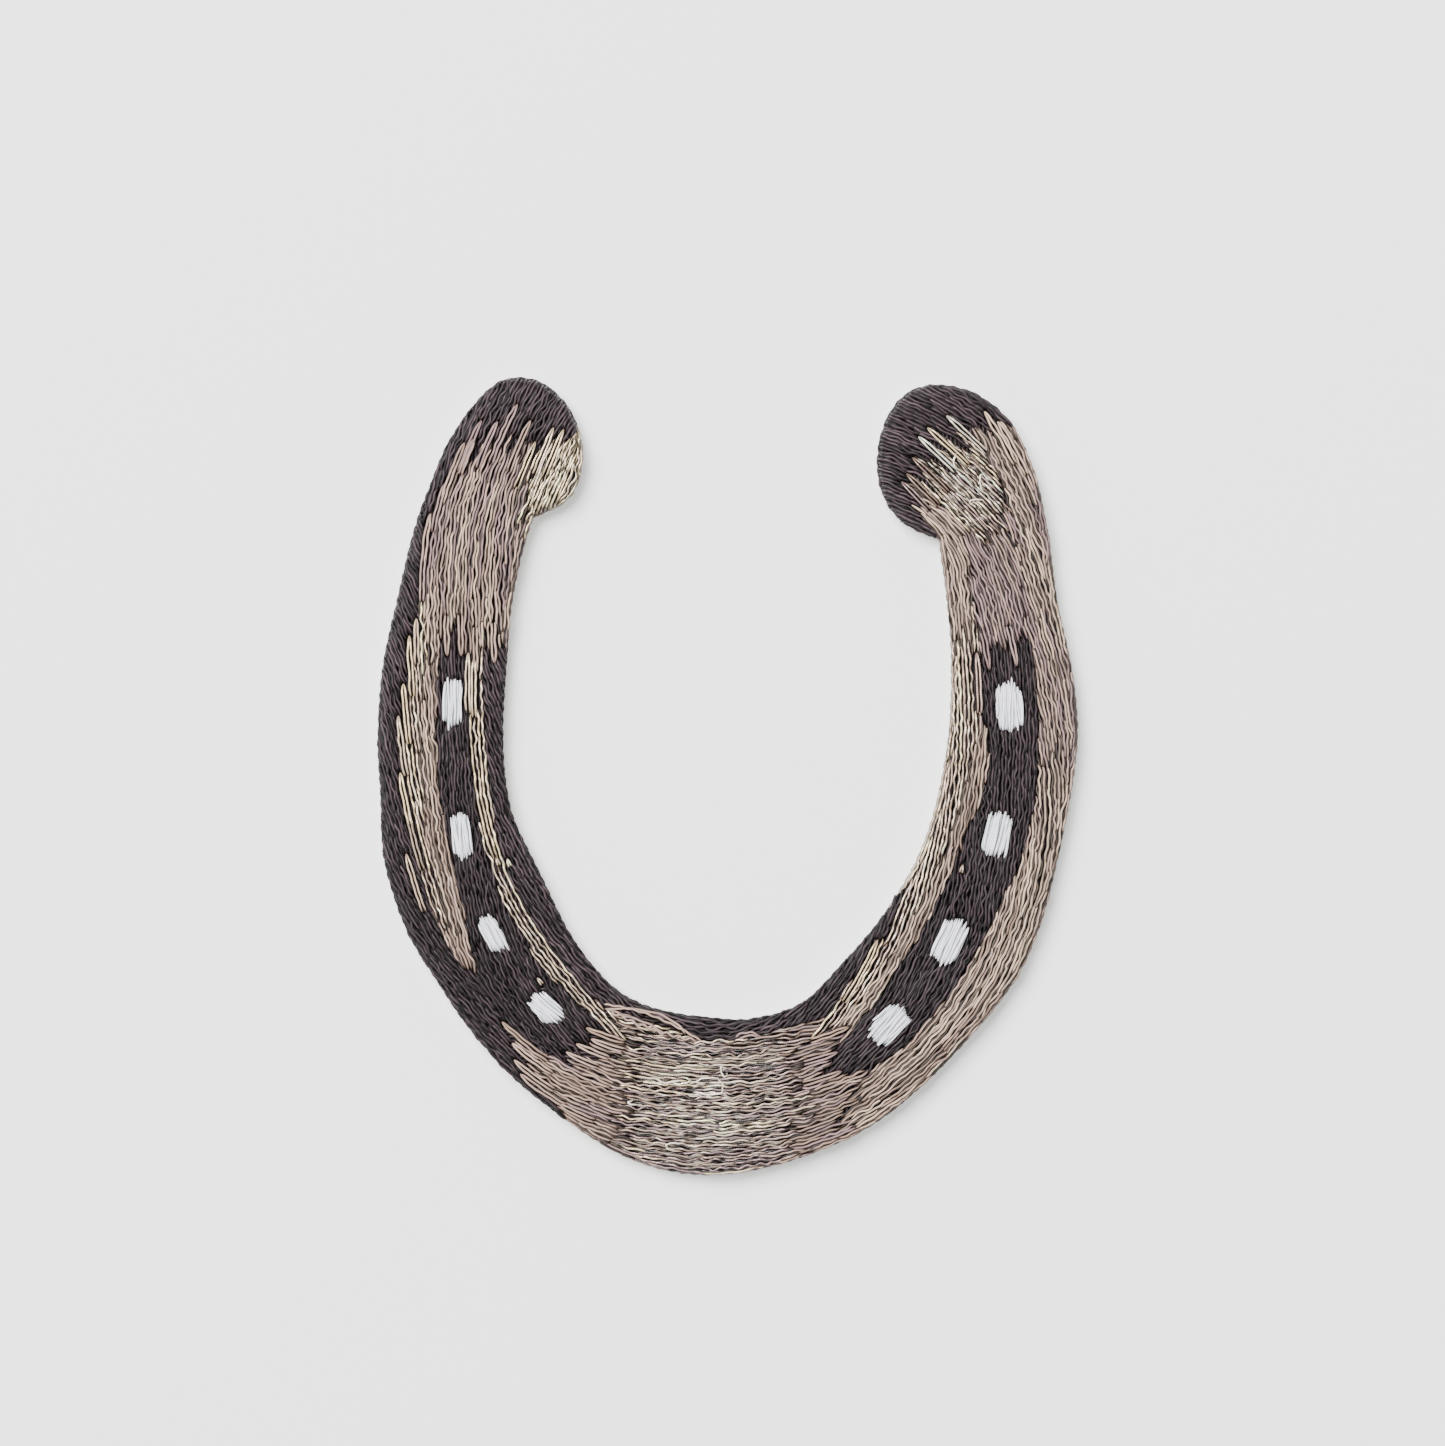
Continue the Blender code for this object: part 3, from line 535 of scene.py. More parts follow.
def spans(length, shortest, longest, rng):
    """Where each stitch of a line starts and ends; the next one starts under the last."""
    made = []
    start = 0.0
    first = rng.uniform(0.35, 1.0)
    while True:
        reach = rng.uniform(shortest, longest) * first
        first = 1.0
        if length - (start + reach) < shortest * 0.5:
            made.append((start, length))
            return made
        made.append((start, start + reach))
        start += reach - OVERLAP


# ---------------- strands to mesh
def quads_between(rings, count):
    """The faces between rings of that many points each, numbered ring after ring."""
    i, j = np.indices((rings - 1, count)).reshape(2, -1)
    after = (j + 1) % count
    return np.stack([
        i * count + j, (i + 1) * count + j, (i + 1) * count + after, i * count + after], 1)


class Strands:
    """Thin closed tubes gathered into one mesh."""

    def __init__(self, sides=0):
        self.profile = PROFILE
        if sides:    # an even section with one corner up
            self.profile = np.arange(sides) * 2 * np.pi / sides + np.pi / 2
        self.sides = len(self.profile)
        self.points, self.loops, self.totals = [], [], []
        self.tints, self.fibres, self.gloss = [], [], []
        self.count = 0

    def add(self, flat, height, radius, tint, rng, gloss=0.0, groove=0.92):
        """A tube over a flat line, closed at both ends; its tint may change along it, and its sides
        and underside carry painted shade.
        """
        line = np.column_stack([flat, height])
        n, k = len(line), self.sides
        direction = unit(np.gradient(line, axis=0))
        side = unit(np.stack([direction[:, 1], -direction[:, 0], np.zeros(n)], 1))
        top = np.cross(side, direction)
        turn = self.profile + rng.normal(0, 0.07)
        across = np.cos(turn)[:, None] * side[:, None]
        up = np.sin(turn)[:, None] * top[:, None] * FLATNESS
        rings = line[:, None] + radius[:, None, None] * (across + up)
        travelled = run_length(line)
        spin = turn + travelled[:, None] * 2 * np.pi / TWIST
        start = rng.uniform(0, 400)
        fibre = np.stack(
            [np.cos(spin), np.sin(spin), np.repeat(travelled[:, None] + start, k, 1)], 2)
        last = (n - 1) * k + np.arange(k)[::-1]
        self.loops += [
            quads_between(n, k).ravel() + self.count, np.arange(k) + self.count, last + self.count]
        self.totals += [np.full((n - 1) * k, 4), np.array([k, k])]
        self.points.append(rings.reshape(-1, 3))
        # painted shade: each corner of the section is darkened in the tint by how little it faces
        # up, so the strand's sides and underside look shaded
        lit = 1.0 - groove * (1.0 - np.clip((np.sin(turn) - 0.2) / 0.8, 0.0, 1.0) ** 1.4)
        shades = np.broadcast_to(tint, (n, 3))[:, None] * lit[:, None]
        self.tints.append(np.concatenate([shades, np.ones((n, k, 1))], 2).reshape(-1, 4))
        self.gloss.append(np.full(n * k, gloss))
        self.fibres.append(fibre.reshape(-1, 3))
        self.count += n * k

    def add_solid(self, points, faces, tint):
        """Any closed solid of the same thread."""
        self.loops += [np.concatenate(faces) + self.count]
        self.totals += [np.array([len(f) for f in faces])]
        self.points.append(points)
        self.tints.append(np.tile(np.append(tint, 1.0), (len(points), 1)))
        self.gloss.append(np.zeros(len(points)))
        self.fibres.append(points * 2.0)
        self.count += len(points)

    def build(self, name, material):
        mesh = bpy.data.meshes.new(name)
        points = np.concatenate(self.points) * MM
        loops = np.concatenate(self.loops).astype(np.int32)
        totals = np.concatenate(self.totals).astype(np.int32)
        starts = (np.cumsum(totals) - totals).astype(np.int32)
        mesh.vertices.add(len(points))
        mesh.vertices.foreach_set("co", points.astype(np.float32).ravel())
        mesh.loops.add(len(loops))
        mesh.loops.foreach_set("vertex_index", loops)
        mesh.polygons.add(len(totals))
        mesh.polygons.foreach_set("loop_start", starts)
        mesh.polygons.foreach_set("use_smooth", np.ones(len(totals), bool))
        mesh.update(calc_edges=True)
        mesh.validate()
        for label, kind, field, values in (
                ("tint", "FLOAT_COLOR", "color", linear(np.concatenate(self.tints))),
                ("fibre", "FLOAT_VECTOR", "vector", np.concatenate(self.fibres)),
                ("gloss", "FLOAT", "value", np.concatenate(self.gloss))):
            data = mesh.attributes.new(label, kind, "POINT").data
            data.foreach_set(field, values.astype(np.float32).ravel())
        mesh.materials.append(material)
        return placed_object(name, mesh)


def placed_object(name, data, **settings):
    """A new object in the scene; the settings are its data's."""
    for key, value in settings.items():
        setattr(data, key, value)
    made = bpy.data.objects.new(name, data)
    bpy.context.scene.collection.objects.link(made)
    return made


def linear(colour):
    """sRGB to linear light."""
    colour = np.asarray(colour, float)
    return np.where(colour <= 0.04045, colour / 12.92, ((colour + 0.055) / 1.055) ** 2.4)


def wave(at, wobble, rng):
    """A soft sideways sway, and a slight lean."""
    room = min((at[-1] - at[0]) / 4.0, 1.0)
    sway = rng.normal(0, wobble) * np.linspace(-1.2, 1.2, len(at))
    for length in (1.4, 2.3, 3.8):
        length *= rng.uniform(0.8, 1.3)
        sway = sway + rng.normal(0, wobble) * np.sin(2 * np.pi * at / length + rng.uniform(0, 6.3))
    return sway * room


def drift(points):
    """The sideways wander that neighbouring strands share, from -1 to 1."""
    x, y = points.T
    wide = np.sin(1.35 * x + 1.2 * np.sin(0.8 * y)) * np.sin(1.15 * y + 1.4 * np.sin(0.9 * x) + 1.0)
    fine = np.sin(2.9 * x + np.sin(1.7 * y) + 2.0) * np.sin(2.6 * y + np.sin(2.1 * x))
    return 0.65 * wide + 0.35 * fine


def gathered(points):
    """How many of the toe's painted glints stay at a place: they gather left of its middle."""
    low, high = np.array(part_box("toe_centre_gold"))[:, :2] / MM
    offset = (points - (low + (high - low) * (0.36, 0.47))) / (high - low)
    return 1.0 - 0.8 * smooth((np.hypot(*offset.T) - 0.16) / 0.34)


def spotted(tint, at, points, kind, rng):
    """The tint at each place along a strand, with dim spots and, on gold thread, bright ones, which
    are painted glints.
    """
    look = KINDS[kind]
    knots = np.arange(at[0], at[-1] + 2 * look.spot, look.spot)
    noise = np.interp(at, knots, rng.normal(0, 1, len(knots)))
    shades = tint * (1.0 - look.dim * smooth((noise - 0.35) / 0.9))[:, None]
    # painted glints: bright spots of pale gold mixed into the tint
    lit = look.bright * smooth((-noise - 0.75) / 0.5)
    lit = (lit * gathered(points) if kind == "toe" else lit)[:, None]
    return np.clip(shades * (1 - lit) + np.array(PALE_GOLD_AND_GLINT) * lit, 0, 1)


def lay_strand(strands, line, start, end, ends, kind, tint, gloss, rng, deep):
    """One strand of a stitch: it comes up, sways along its line and goes down."""
    look = KINDS[kind]
    radius = look.radius * (1.0 - 0.12 * deep)
    crimped = gloss > 0
    at = np.linspace(start, end, max(int((end - start) / (0.17 if crimped else 0.25)), 5))
    points, normal = along(line, at)
    height = crown(depths(points)) + rng.normal(0, 0.035) - 0.11 * deep
    height += rng.normal(0, 0.03) * np.sin(2 * np.pi * at / 2.1 + rng.uniform(0, 6.3))
    thick = np.full(len(at), radius * rng.uniform(0.90, 1.08))
    for away, stop in ((at - start, ends[0]), (end - at, ends[1])):
        if stop == EDGE:
            height -= 0.5 * (1 - smooth(away / 0.3))
            thick *= 0.85 + 0.15 * smooth(away / 0.5)
        else:
            height -= 0.36 * (1 - smooth(away / 0.65))
            thick *= 0.55 + 0.45 * smooth(away / 0.6)
    sway = wave(at, look.wobble, rng) + rng.normal(0, 0.02)
    if crimped:
        knots = np.arange(start, end + 0.5, 0.42)
        kinks = np.interp(at, knots, rng.normal(0, 1.0, len(knots)))
        sway = sway + 0.030 * kinks
        height = height + 0.035 * np.roll(kinks, 2)
        thick = thick * (1.0 + 0.14 * np.roll(kinks, 4).clip(-1.5, 1.5))
    sway = sway + look.wander * drift(points) * smooth(depths(points) / 0.8)
    flat = points + normal * sway[:, None]
    tints = spotted(tint, at, points, kind, rng)
    strands.add(flat, height, thick, tints, rng, gloss)


def lay_pair(strands, line, kind, tint, gloss, rng):
    """A single stitch of two strands that part in the middle and meet at the tip."""
    look = KINDS[kind]
    end = length_of(line)
    at = np.linspace(0.0, end, max(int(end / 0.3), 5))
    points, normal = along(line, at)
    apart = np.clip((end - at) / 1.3, 0.0, 1.0) ** 0.6
    height = crown(depths(points)) + 0.10 - 0.40 * (1 - smooth(from_end(at) / 0.8))
    for side in (-1, 1):
        offset = side * (0.03 + 0.15 * apart) + wave(at, look.wobble, rng) * apart * 0.6
        flat = points + normal * offset[:, None]
        thick = look.radius * rng.uniform(0.93, 1.07) * (0.55 + 0.45 * smooth((end - at) / 0.5))
        shade = np.clip(tint * rng.uniform(0.95, 1.04), 0, 1)
        strands.add(flat, height, thick, shade, rng, gloss)


def lay_curl(strands, x, y, wide, tall, first, sweep, rng):
    """A loose curl of bright thread that lies on top of the others."""
    turn = np.radians(first + sweep * np.linspace(0, 1, max(int(sweep / 16), 8)))
    ripple = 1.0 + 0.10 * np.sin(turn * 3 + x) + 0.07 * np.sin(turn * 7 + y)
    flat = np.column_stack([x + wide * ripple * np.cos(turn), y + tall * ripple * np.sin(turn)])
    full = smooth(from_end(np.arange(len(turn))) / 3.0)
    height = crown(depths(flat)) + 0.17 - 0.30 * (1 - full)
    thick = 0.105 * (0.6 + 0.4 * full) * (1.0 + 0.15 * np.sin(turn * 5))
    # the curl's sides carry painted shade
    strands.add(flat, height, thick, PALE_GOLD_AND_GLINT, rng, gloss=1.0, groove=0.8)


def lay_stray(strands, bow, tint, rng):
    """One strand bowed over the stitches below it."""
    first, middle, last = np.array(bow, float).reshape(3, 2)
    t = np.linspace(0, 1, max(int(np.linalg.norm(last - first) / 0.22), 8))[:, None]
    flat = (1 - t) ** 2 * first + 2 * t * (1 - t) * middle + t * t * last
    at = t[:, 0] * np.linalg.norm(last - first)
    flat[:, 1] += wave(at, 0.04, rng)
    height = crown(depths(flat)) + 0.16 - 0.42 * (1 - smooth(from_end(at) / 0.6))
    thick = 0.135 * (0.6 + 0.4 * smooth(from_end(at) / 0.5))
    strands.add(flat, height, thick, tint, rng)


def rim_stitches(rng):
    """node: stitches end to end along the outline, below the ends of the field's own ones."""
    loop = resampled(outline_of("linen_ground"), RIM_STEP)
    normal = outward(loop)
    at = np.arange(len(loop)) * RIM_STEP
    depth = depths(loop)
    depth = sum(np.roll(depth, shift) for shift in range(-3, 4)) / 7
    names = list(FIELDS)
    made = {node: [] for node in FIELDS}
    for inset, height in ((0.42, 2.06), (0.14, 1.93)):
        path = loop + normal * (depth - inset - 0.04 * np.sin(at * 5.2))[:, None]
        start = 0
        while start < len(loop):
            stop = start + int(rng.integers(16, 30))
            index = np.arange(start, stop + 1) % len(loop)
            middle = index[len(index) // 2]
            owner = LABELS[cell(*(loop[middle] - normal[middle] * 0.6))]
            start = stop - 3
            if 0 < owner < FIRST_PATCH:
                made[names[owner - 1]].append((path[index], height))
    return made


def lay_rim(strands, path, height, tint, rng):
    """One stitch along the outline."""
    full = smooth(from_end(np.arange(len(path))) * RIM_STEP / 0.5)
    uneven = rng.normal(0, 0.012, (len(path), 3))
    rise = height + uneven[:, 2] - 0.16 * (1 - full)
    strands.add(path + uneven[:, :2], rise, 0.155 * (0.65 + 0.35 * full), tint, rng)


def choose(colours, rng):
    return np.array(colours[rng.integers(len(colours))])


def embroider(node, grain, lines, rng):
    """Fills one field's lines with stitches; a line with no ends is a single stitch."""
    kind, _, _, *colours = FIELDS[node]
    look = KINDS[kind]
    strands = Strands()
    metal = 1.0 if kind in ("gold", "cord") else 0.0
    for line, ends, deep in lines:
        length = length_of(line)
        cuts = spans(length, look.shortest, look.longest, rng) if ends else [(0.0, length)]
        for start, end in cuts:
            middle = line[min(int((start + end) / 2 / STEP), len(line) - 1)]
            tints = colours[-1] if rng.random() < grain.share(*middle) else colours[0]
            # strands that fill gaps lie lower and are darkened: painted shade for the shadow
            # between the strands above
            tint = choose(tints, rng) * rng.uniform(0.88, 1.10) * (1.0 - 0.60 * deep)
            gloss = metal if kind != "toe" else float(rng.random() < 0.45)
            if not ends:
                lay_pair(strands, line, kind, tint, gloss, rng)
                continue
            stops = (ends[0] if start == 0.0 else UNDER, ends[1] if end == length else UNDER)
            lay_strand(strands, line, start, end, stops, kind, tint, gloss, rng, deep)
    return strands


# ---------------- materials
def new_material(name):
    """A new material with its node tree and its Principled shader."""
    material = bpy.data.materials.new(name)
    material.use_nodes = True
    return material, material.node_tree, material.node_tree.nodes["Principled BSDF"]


def set_inputs(tree, node, inputs):
    """Sets each input to a value, or links it to another node's output."""
    for key, value in inputs.items():
        if isinstance(value, bpy.types.NodeSocket):
            tree.links.new(value, node.inputs[key])
        else:
            node.inputs[key].default_value = value


def add_node(tree, kind, inputs, output=0, **settings):
    """One output of a new shader node."""
    node = tree.nodes.new("ShaderNode" + kind)
    for key, value in settings.items():
        setattr(node, key, value)
    set_inputs(tree, node, inputs)
    return node.outputs[output]


def attribute(tree, name, output):
    return add_node(tree, "Attribute", {}, output, attribute_name=name)


def noise(tree, place, scale, detail, distortion=0.0):
    inputs = {"Vector": place, "Scale": scale, "Detail": detail, "Distortion": distortion}
    return add_node(tree, "TexNoise", inputs, "Fac")


def ranged(tree, value, low, high, to_low, to_high):
    """The value's span from low to high, mapped to another span."""
    return add_node(tree, "MapRange", {
        "Value": value, "From Min": low, "From Max": high, "To Min": to_low, "To Max": to_high})


def bump(tree, height, strength, distance):
    return add_node(
        tree, "Bump", {"Height": height, "Strength": strength, "Distance": distance}, "Normal")


def product(tree, first, second):
    return add_node(tree, "Math", {0: first, 1: second}, operation="MULTIPLY")


def thread_material(name, roughness, sheen, metallic, streak, specular):
    """Stranded thread: fibre streaks wound round each strand, with its own tint per stitch."""
    material, tree, shader = new_material(name)
    place = add_node(tree, "TexCoord", {}, "Object")
    wound = {0: attribute(tree, "fibre", "Vector"), 1: (1.9, 1.9, 0.55)}
    fibres = noise(tree, add_node(tree, "VectorMath", wound, operation="MULTIPLY"), 1.6, 3.0)
    streaks = ranged(tree, fibres, 0.3, 0.7, 1.0 - streak, 1.0 + streak * 0.5)
    patches = ranged(tree, noise(tree, place, 260.0, 2.0), 0.3, 0.7, 0.92, 1.06)
    flecks = noise(tree, place, 1300.0, 2.0)
    flecks = ranged(tree, flecks, 0.32, 0.68, 1.0 - streak, 1.0 + streak)
    shade = product(tree, product(tree, streaks, patches), flecks)
    tint = {0: attribute(tree, "tint", "Color"), "Scale": shade}
    inputs = {
        "Base Color": add_node(tree, "VectorMath", tint, operation="SCALE"),
        "Roughness": ranged(tree, fibres, 0.3, 0.7, roughness + 0.10, roughness - 0.08),
        "Normal": bump(tree, fibres, 0.5, 0.00003),
        "Specular IOR Level": specular,
        "Sheen Weight": sheen,
        "Sheen Roughness": 0.45,
    }
    if metallic:
        inputs["Metallic"] = product(tree, attribute(tree, "gloss", "Fac"), metallic)
    set_inputs(tree, shader, inputs)
    return material


def cloth_material(name, colour, dark, scale, depth):
    """Felt or linen: matted or woven fibres in colour, roughness and bump."""
    material, tree, shader = new_material(name)
    fibres = noise(tree, add_node(tree, "TexCoord", {}, "Object"), scale, 6.0, 1.2)
    shades = {0: fibres, 6: (*linear(dark), 1), 7: (*linear(colour), 1)}
    set_inputs(tree, shader, {
        "Base Color": add_node(tree, "Mix", shades, 2, data_type="RGBA"),
        "Roughness": ranged(tree, fibres, 0.0, 1.0, 0.98, 0.82),
        "Normal": bump(tree, fibres, 0.6, depth),
        "Sheen Weight": 0.25,
    })
    return material


# thread: (roughness, sheen, metallic, streak, specular)
THREADS = {
    "thread_dark": (0.46, 0.0, 0.0, 0.25, 0.14),
    "thread_mauve": (0.46, 0.02, 0.0, 0.14, 0.20),
    "thread_taupe": (0.46, 0.02, 0.0, 0.14, 0.20),
    "thread_beige": (0.46, 0.02, 0.0, 0.14, 0.20),
    "thread_gold": (0.25, 0.0, 0.38, 0.20, 0.55),
    "thread_white": (0.42, 0.10, 0.0, 0.06, 0.30),
}
# cloth: (colour, colour in the shade of its fibres, scale of the fibres, their depth)
CLOTHS = {
    "linen": (LINEN, LINEN_SHADE, 3000.0, 0.00005), "felt": (FELT, FELT_SHADE, 900.0, 0.0001)}
MATERIALS = {
    **{name: thread_material(name, *look) for name, look in THREADS.items()},
    **{name: cloth_material(name, *look) for name, look in CLOTHS.items()}}


# ---------------- cloth layers
def outline_of(node):
    """The node's outline as one closed loop, anticlockwise, at its widest."""
    points, triangles = mesh_of(node)
    floor = points[:, 2].min() + 0.01
    ids = {}
    merged = [ids.setdefault(tuple(np.round(p, 3)), len(ids)) for p in points]
    flat = {number: p[:2] for number, p in zip(merged[::-1], points[::-1])}
    edges = set()
    for a, b, c in np.array(merged)[triangles[(points[triangles, 2] < floor).all(1)]]:
        edges.update(((a, b), (b, c), (c, a)))
    step = {a: b for a, b in edges if (b, a) not in edges}
    start = min(step)
    loop = [start]
    while step[loop[-1]] != start:
        loop.append(step[loop[-1]])
    loop = np.array([flat[i] for i in loop])
    turns_left = twice_area(np.zeros(2), loop, np.roll(loop, -1, 0)).sum() > 0
    return loop if turns_left else loop[::-1]


def resampled(loop, step):
    """A closed loop's points spaced evenly, about one step apart."""
    closed = np.vstack([loop, loop[:1]])
    whole = run_length(closed)[-1]
    count = int(whole / step)
    return placed(closed, np.arange(count) * whole / count)


def outward(loop):
    """Unit normals of an anticlockwise loop, averaged over its neighbours."""
    return -left_of(unit(np.roll(loop, -1, 0) - np.roll(loop, 1, 0)))


def layered_solid(loop, levels):
    """A closed solid: the loop at each level, moved out by that level's amount."""
    normal = outward(loop)
    points = [
        np.column_stack([loop + normal * np.reshape(moved, (-1, 1)), np.full(len(loop), height)])
        for moved, height in levels]
    faces = list(np.roll(quads_between(len(levels), len(loop))[:, ::-1], 1, 1))
    top = (len(levels) - 1) * len(loop)
    for a, b, c in tessellate_polygon([[Vector((*p[:2], 0.0)) for p in points[0]]]):
        if twice_area(*points[0][[a, b, c], :2]) < 0:
            b, c = c, b
        faces += [np.array([a, c, b]), np.array([top + a, top + b, top + c])]
    return np.concatenate(points), faces


def rough_edge(count, rng, amount):
    """A soft uneven edge, as cut cloth has."""
    noise = rng.normal(0, amount, count)
    return (noise + np.roll(noise, 1) + np.roll(noise, -1)) / 3


def add_fibres(strands, loop, count, low, high, reach, radius, tint, rng):
    """Loose fibre ends round the edge of a cloth layer."""
    normal = outward(loop)
    for _ in range(count):
        i = rng.integers(len(loop))
        height = rng.uniform(low, high)
        heading = unit(normal[i] + rng.normal(0, 0.5) * left_of(normal[i]))
        length = rng.uniform(0.4, 1.0) * reach
        t = np.linspace(0, 1, 5)
        bend = left_of(heading) * rng.normal(0, 0.25)
        flat = loop[i] - heading * 0.12 + np.outer(t * length, heading)
        flat = flat + np.outer(t * t * length, bend)
        rise = height + t * t * length * rng.uniform(-0.35, 0.35)
        strands.add(flat, np.clip(rise, low, high), radius * (1.1 - 0.7 * t), tint, rng)


def cloth_layer(loop, levels, sides, tint, rng):
    """A cut sheet; each level is (how far out, how rough, height), from the bottom up."""
    strands = Strands(sides)
    strands.add_solid(*layered_solid(loop, [
        (out + rough_edge(len(loop), rng, rough), height) for out, rough, height in levels]), tint)
    return strands


def build_felt(rng):
    loop = resampled(outline_of("backing_felt"), CLOTH_STEP)
    strands = cloth_layer(loop, (
        (0.10, 0.05, 0.02), (0.20, 0.06, 0.18), (0.22, 0.08, 0.55),
        (0.21, 0.08, 0.90), (0.14, 0.06, 1.14), (0.04, 0.05, 1.24)), 3, FELT, rng)
    add_fibres(strands, loop + outward(loop) * 0.2, 1500, 0.05, 1.2, 0.55, 0.018, FELT, rng)
    return strands


def build_linen(rng):
    loop = resampled(outline_of("linen_ground"), CLOTH_STEP)
    strands = cloth_layer(loop, (
        (0.02, 0.04, 1.30), (0.12, 0.05, 1.38), (0.12, 0.05, 1.62), (0.02, 0.04, 1.70)),
        5, LINEN, rng)
    edge = resampled(loop, 0.37)
    normal = outward(edge)
    for i in range(len(edge)):
        length = rng.uniform(0.12, 0.38)
        t = np.linspace(0, 1, 4)
        heading = normal[i] + rng.normal(0, 0.15) * left_of(normal[i])
        flat = edge[i] - normal[i] * 0.15 + np.outer(t * (length + 0.2), heading)
        height = rng.choice((1.42, 1.58)) + 0.03 * np.sin(t * 3 + i)
        strands.add(flat, height, 0.085 * (1.0 - 0.35 * t * t), LINEN, rng)
    return strands


def reach_out(loop, others):
    """How far each point of a loop may move out: to the outline, or half way to another loop."""
    normal = outward(loop)
    gap = np.linalg.norm(loop[:, None] - others[None], axis=2).min(1)
    out = np.zeros(len(loop))
    for step in np.arange(0.05, 1.8, 0.05):
        free = (depths(loop + normal * step) > 0.36) & (step < gap / 2 - 0.01)
        out = np.where(free & (out > step - 0.06), step, out)
    return (out + np.minimum(np.roll(out, 1), np.roll(out, -1))) / 2


def crossings(loop, height):
    """Where a horizontal line crosses a closed loop, from left to right."""
    after = np.roll(loop, -1, 0)
    cut = (loop[:, 1] > height) != (after[:, 1] > height)
    a, b = loop[cut], after[cut]
    return np.sort(a[:, 0] + (height - a[:, 1]) / (b[:, 1] - a[:, 1]) * (b[:, 0] - a[:, 0]))


def build_underlay(node, rng):
    """Dark padding stitches over a bed of thread in near-black painted shade, which shows as the
    shadow in the gaps between the strands above: across the toe, and along the branches.
    """
    loop = resampled(outline_of(node), CLOTH_STEP)
    others = np.concatenate([outline_of(name) for name in UNDERLAYS if name != node])
    if len(others) < FEW_POINTS:
        others = resampled(others, CLOTH_STEP)
    out = reach_out(loop, others)
    levels = [(out, 1.76), (out, 2.22), (out - 0.06, 2.36), (out - 0.25, 2.44)]
    strands = Strands(6)
    # the bed is coloured in painted shade, darker than any thread
    strands.add_solid(*layered_solid(loop, levels), SHADE)
    turn = slice(None, None, 1 if node == "underlay_toe" else -1)
    turned = (loop + outward(loop) * (out - 0.1)[:, None])[:, turn]
    for height in np.arange(turned[:, 1].min() + 0.2, turned[:, 1].max() - 0.1, 0.40):
        cuts = crossings(turned, height)
        for low, high in zip(cuts[::2], cuts[1::2]):
            if high - low < 1.0:
                continue
            for start, end in spans(high - low, 5.0, 9.0, rng):
                at = np.linspace(low + start, low + end, max(int((end - start) / 0.5), 5))
                level = height + 0.03 * np.sin(at * 2 + height) + rng.normal(0, 0.02)
                flat = np.column_stack([at, level])[:, turn]
                rise = 2.46 + rng.normal(0, 0.02) - 0.18 * (1 - smooth(from_end(at) / 0.7))
                thick = 0.19 * (0.7 + 0.3 * smooth(from_end(at) / 0.6))
                strands.add(flat, rise, thick, choose((DARK, SOOT, PLUM), rng), rng)
    return strands


# ---------------- nail patches
def build_patch(node, angle, rng):
    """White satin stitches, close together, with ragged ends."""
    corners = upward_triangles(node).reshape(-1, 2)
    middle = (corners.min(0) + corners.max(0)) / 2
    turn = math.radians(angle)
    grain = np.array([math.cos(turn), math.sin(turn)])
    across = left_of(grain)
    u, v = ((corners - middle) @ way for way in (grain, across))
    half_width = (v.max() - v.min()) / 2 + 0.02
    centre_v = (v.max() + v.min()) / 2
    strands = Strands()
    for layer, pitch, radius, height in ((0, 0.26, 0.15, 2.98), (1, 0.22, 0.125, 3.28)):
        count = max(int(2 * half_width / pitch), 3)
        for i in range(count):
            at = centre_v - half_width + (i + 0.5) * 2 * half_width / count
            near = np.abs(v - at) < 0.5
            span = u[near] if near.any() else u
            # the stitches at the two sides are shorter, so the patch is rounded
            side = 0.85 * abs((at - centre_v) / half_width) ** 3
            ragged = 0.10 + 0.16 * layer
            low = span.min() - 0.2 + side * rng.uniform(0.3, 1.3) + rng.normal(0, ragged)
            high = span.max() + 0.2 - side * rng.uniform(0.3, 1.3) + rng.normal(0, ragged)
            t = np.linspace(0, 1, max(int((high - low) / 0.25), 7))
            run = low + (high - low) * t
            lean = rng.normal(0, 0.15 * layer, 2)
            sway = at + lean[0] * (1 - t) + lean[1] * t
            sway = sway + 0.04 * layer * np.sin(t * 7 + rng.uniform(0, 6.3))
            flat = middle + np.outer(run, grain) + np.outer(sway, across)
            swell = 0.12 * np.sin(np.pi * (i + 0.5) / count) + rng.normal(0, 0.04) * layer
            rise = height + swell - 0.40 * (1 - smooth(from_end(run) / 0.6))
            full = 0.45 + 0.55 * smooth(from_end(run) / 0.8)
            thick = full * radius * rng.uniform(0.75, 1.3)
            tint = np.clip(np.array(WHITE) * rng.uniform(0.94, 1.03), 0, 1)
            # a little painted shade on the sides of each satin strand
            strands.add(flat, rise, thick, tint, rng, groove=0.20)
    return strands


# ---------------- building the part
def add_piece(strands, node, made_of, slot):
    """One piece of the part, which stands for its CAD node."""
    piece = strands.build(node + "_" + made_of, MATERIALS[slot])
    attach(piece, "root")
    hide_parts(node)
    return piece


def tip_lines(node):
    """Lines of the single stitches that run out into the dark, back along the grain."""
    grain = Grain(node)
    lines = []
    for x, y, length in TIPS[node]:
        points = [(x, y)]
        for _ in range(max(int(abs(length) / STEP), 3)):
            angle = grain.at(*points[-1])
            way = STEP if math.sin(angle) * length < 0 else -STEP
            points.append(ahead(*points[-1], angle, way))
        lines.append(np.array(points[::-1]))
    return lines


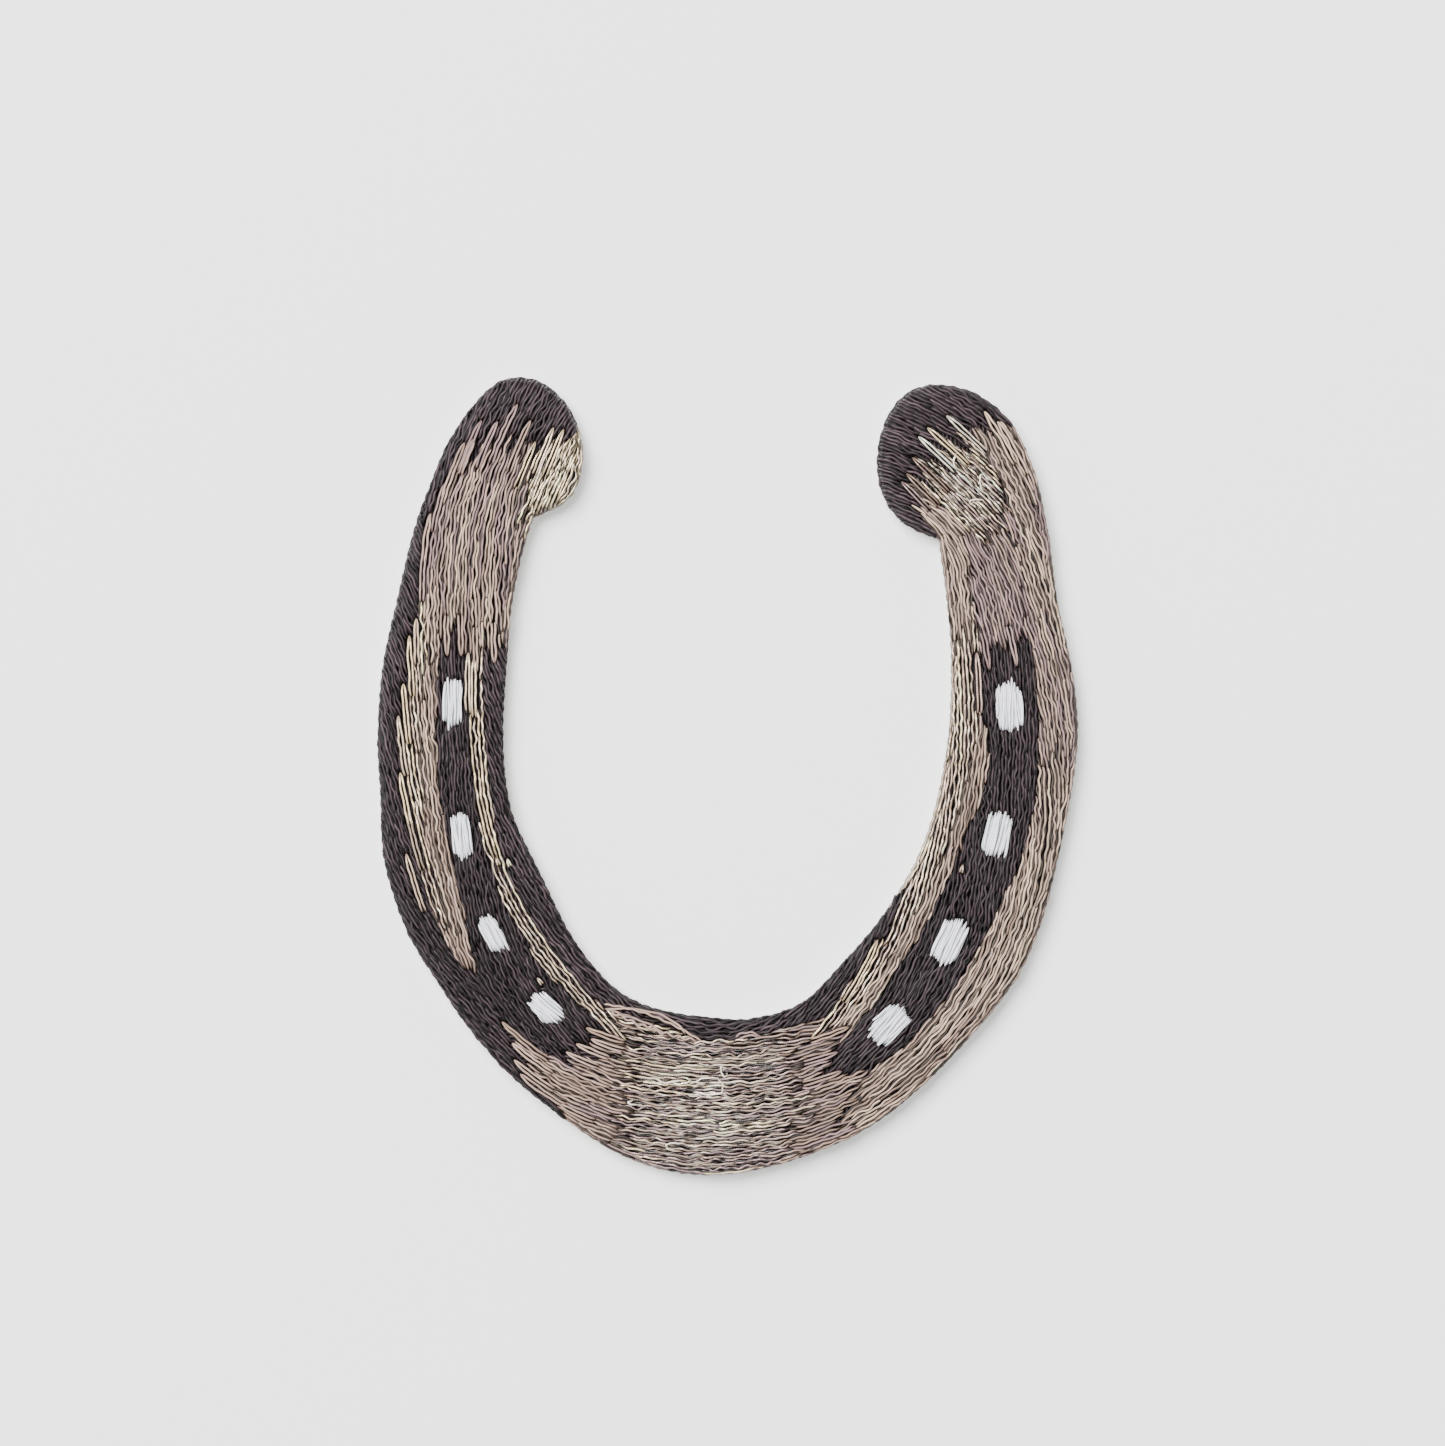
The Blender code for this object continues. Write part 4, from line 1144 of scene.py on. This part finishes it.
def build_threads():
    rng = np.random.default_rng(11)
    for value in PATCH_IDS.values():
        patch = grown(LABELS == value)
        for grid, steps in ((TAKEN, 0), (CROWDED, 3), (NARROW, 0), (FILLED, 2)):
            grid[grown(patch, steps)] = True
    tips = {node: tip_lines(node) for node in TIPS}
    for node, lines in tips.items():
        pitch = KINDS[FIELDS[node][0]].pitch
        for line in lines:
            for grid, share in ((TAKEN, 1.1), (CROWDED, 1.4), (NARROW, 0.9), (FILLED, 1.1)):
                stamp(grid, line, pitch * share)
    rims = rim_stitches(rng)
    for node in FIELDS:
        grain, lines = lay_lines(node, rng)
        lines += [(line, None, 0) for line in tips.get(node, ())]
        strands = embroider(node, grain, lines, rng)
        for curl in CURLS.get(node, ()):
            lay_curl(strands, *curl, rng)
        for bow in STRAYS.get(node, ()):
            lay_stray(strands, bow, choose((TAUPE, MAUVE), rng), rng)
        for path, height in rims[node]:
            lay_rim(strands, path, height, choose(FIELDS[node][3], rng) * 0.85, rng)
        add_piece(strands, node, "stitches", "thread_" + node.split("_")[-1])
    for node, angle in PATCHES.items():
        add_piece(build_patch(node, angle, rng), node, "satin", "thread_white")


def build_layers():
    rng = np.random.default_rng(5)
    for node in UNDERLAYS:
        add_piece(build_underlay(node, rng), node, "padding", "thread_dark")
    linen = add_piece(build_linen(rng), "linen_ground", "cloth", "linen")
    felt = add_piece(build_felt(rng), "backing_felt", "cloth", "felt")
    area_of("linen_ground")
    area_of("backing_felt")


def area_of(node):
    """Flat area of a cloth layer's cut, in square metres."""
    return float(twice_area(*upward_triangles(node).transpose(1, 0, 2)).sum() / 2) * MM * MM


def build_stage():
    """A plain pale floor just below the part."""
    mesh = bpy.data.meshes.new("floor")
    size = FLOOR_HALF
    corners = ((-size, -size), (size, -size), (size, size), (-size, size))
    mesh.from_pydata([(*corner, CAD_LOW.z - 0.0001) for corner in corners], [], [(0, 1, 2, 3)])
    material, tree, shader = new_material("floor")
    set_inputs(tree, shader, {
        "Base Color": (*linear(FLOOR), 1), "Roughness": 0.95, "Specular IOR Level": 0.1})
    mesh.materials.append(material)
    placed_object("floor", mesh)


def build_light():
    """One large soft light from the upper left, and an even white room."""
    light = placed_object(
        "key", bpy.data.lights.new("key", "AREA"), shape="SQUARE", size=1.0, energy=92.0)
    light.location = (-0.58, 0.64, 1.55)
    light.rotation_mode = "QUATERNION"
    light.rotation_quaternion = (-light.location).to_track_quat("-Z", "Y")
    world = bpy.data.worlds.new("studio")
    world.use_nodes = True
    set_inputs(world.node_tree, world.node_tree.nodes["Background"], {
        "Color": (1.0, 1.0, 1.0, 1.0), "Strength": 1.0})
    bpy.context.scene.world = world


def build_camera():
    """Straight above the part, which lies a little below the middle of the picture."""
    sensor = 36.0
    camera = placed_object(
        "camera", bpy.data.cameras.new("camera"), sensor_width=sensor,
        lens=sensor * VIEW_DISTANCE / VIEW_WIDTH, clip_start=0.01, clip_end=10.0)
    middle = (CAD_LOW + CAD_HIGH) / 2
    camera.location = (middle.x - 0.0005, middle.y + 0.0053, VIEW_DISTANCE + 0.003)
    bpy.context.scene.camera = camera


build_stage()
build_layers()
build_threads()
build_light()
build_camera()
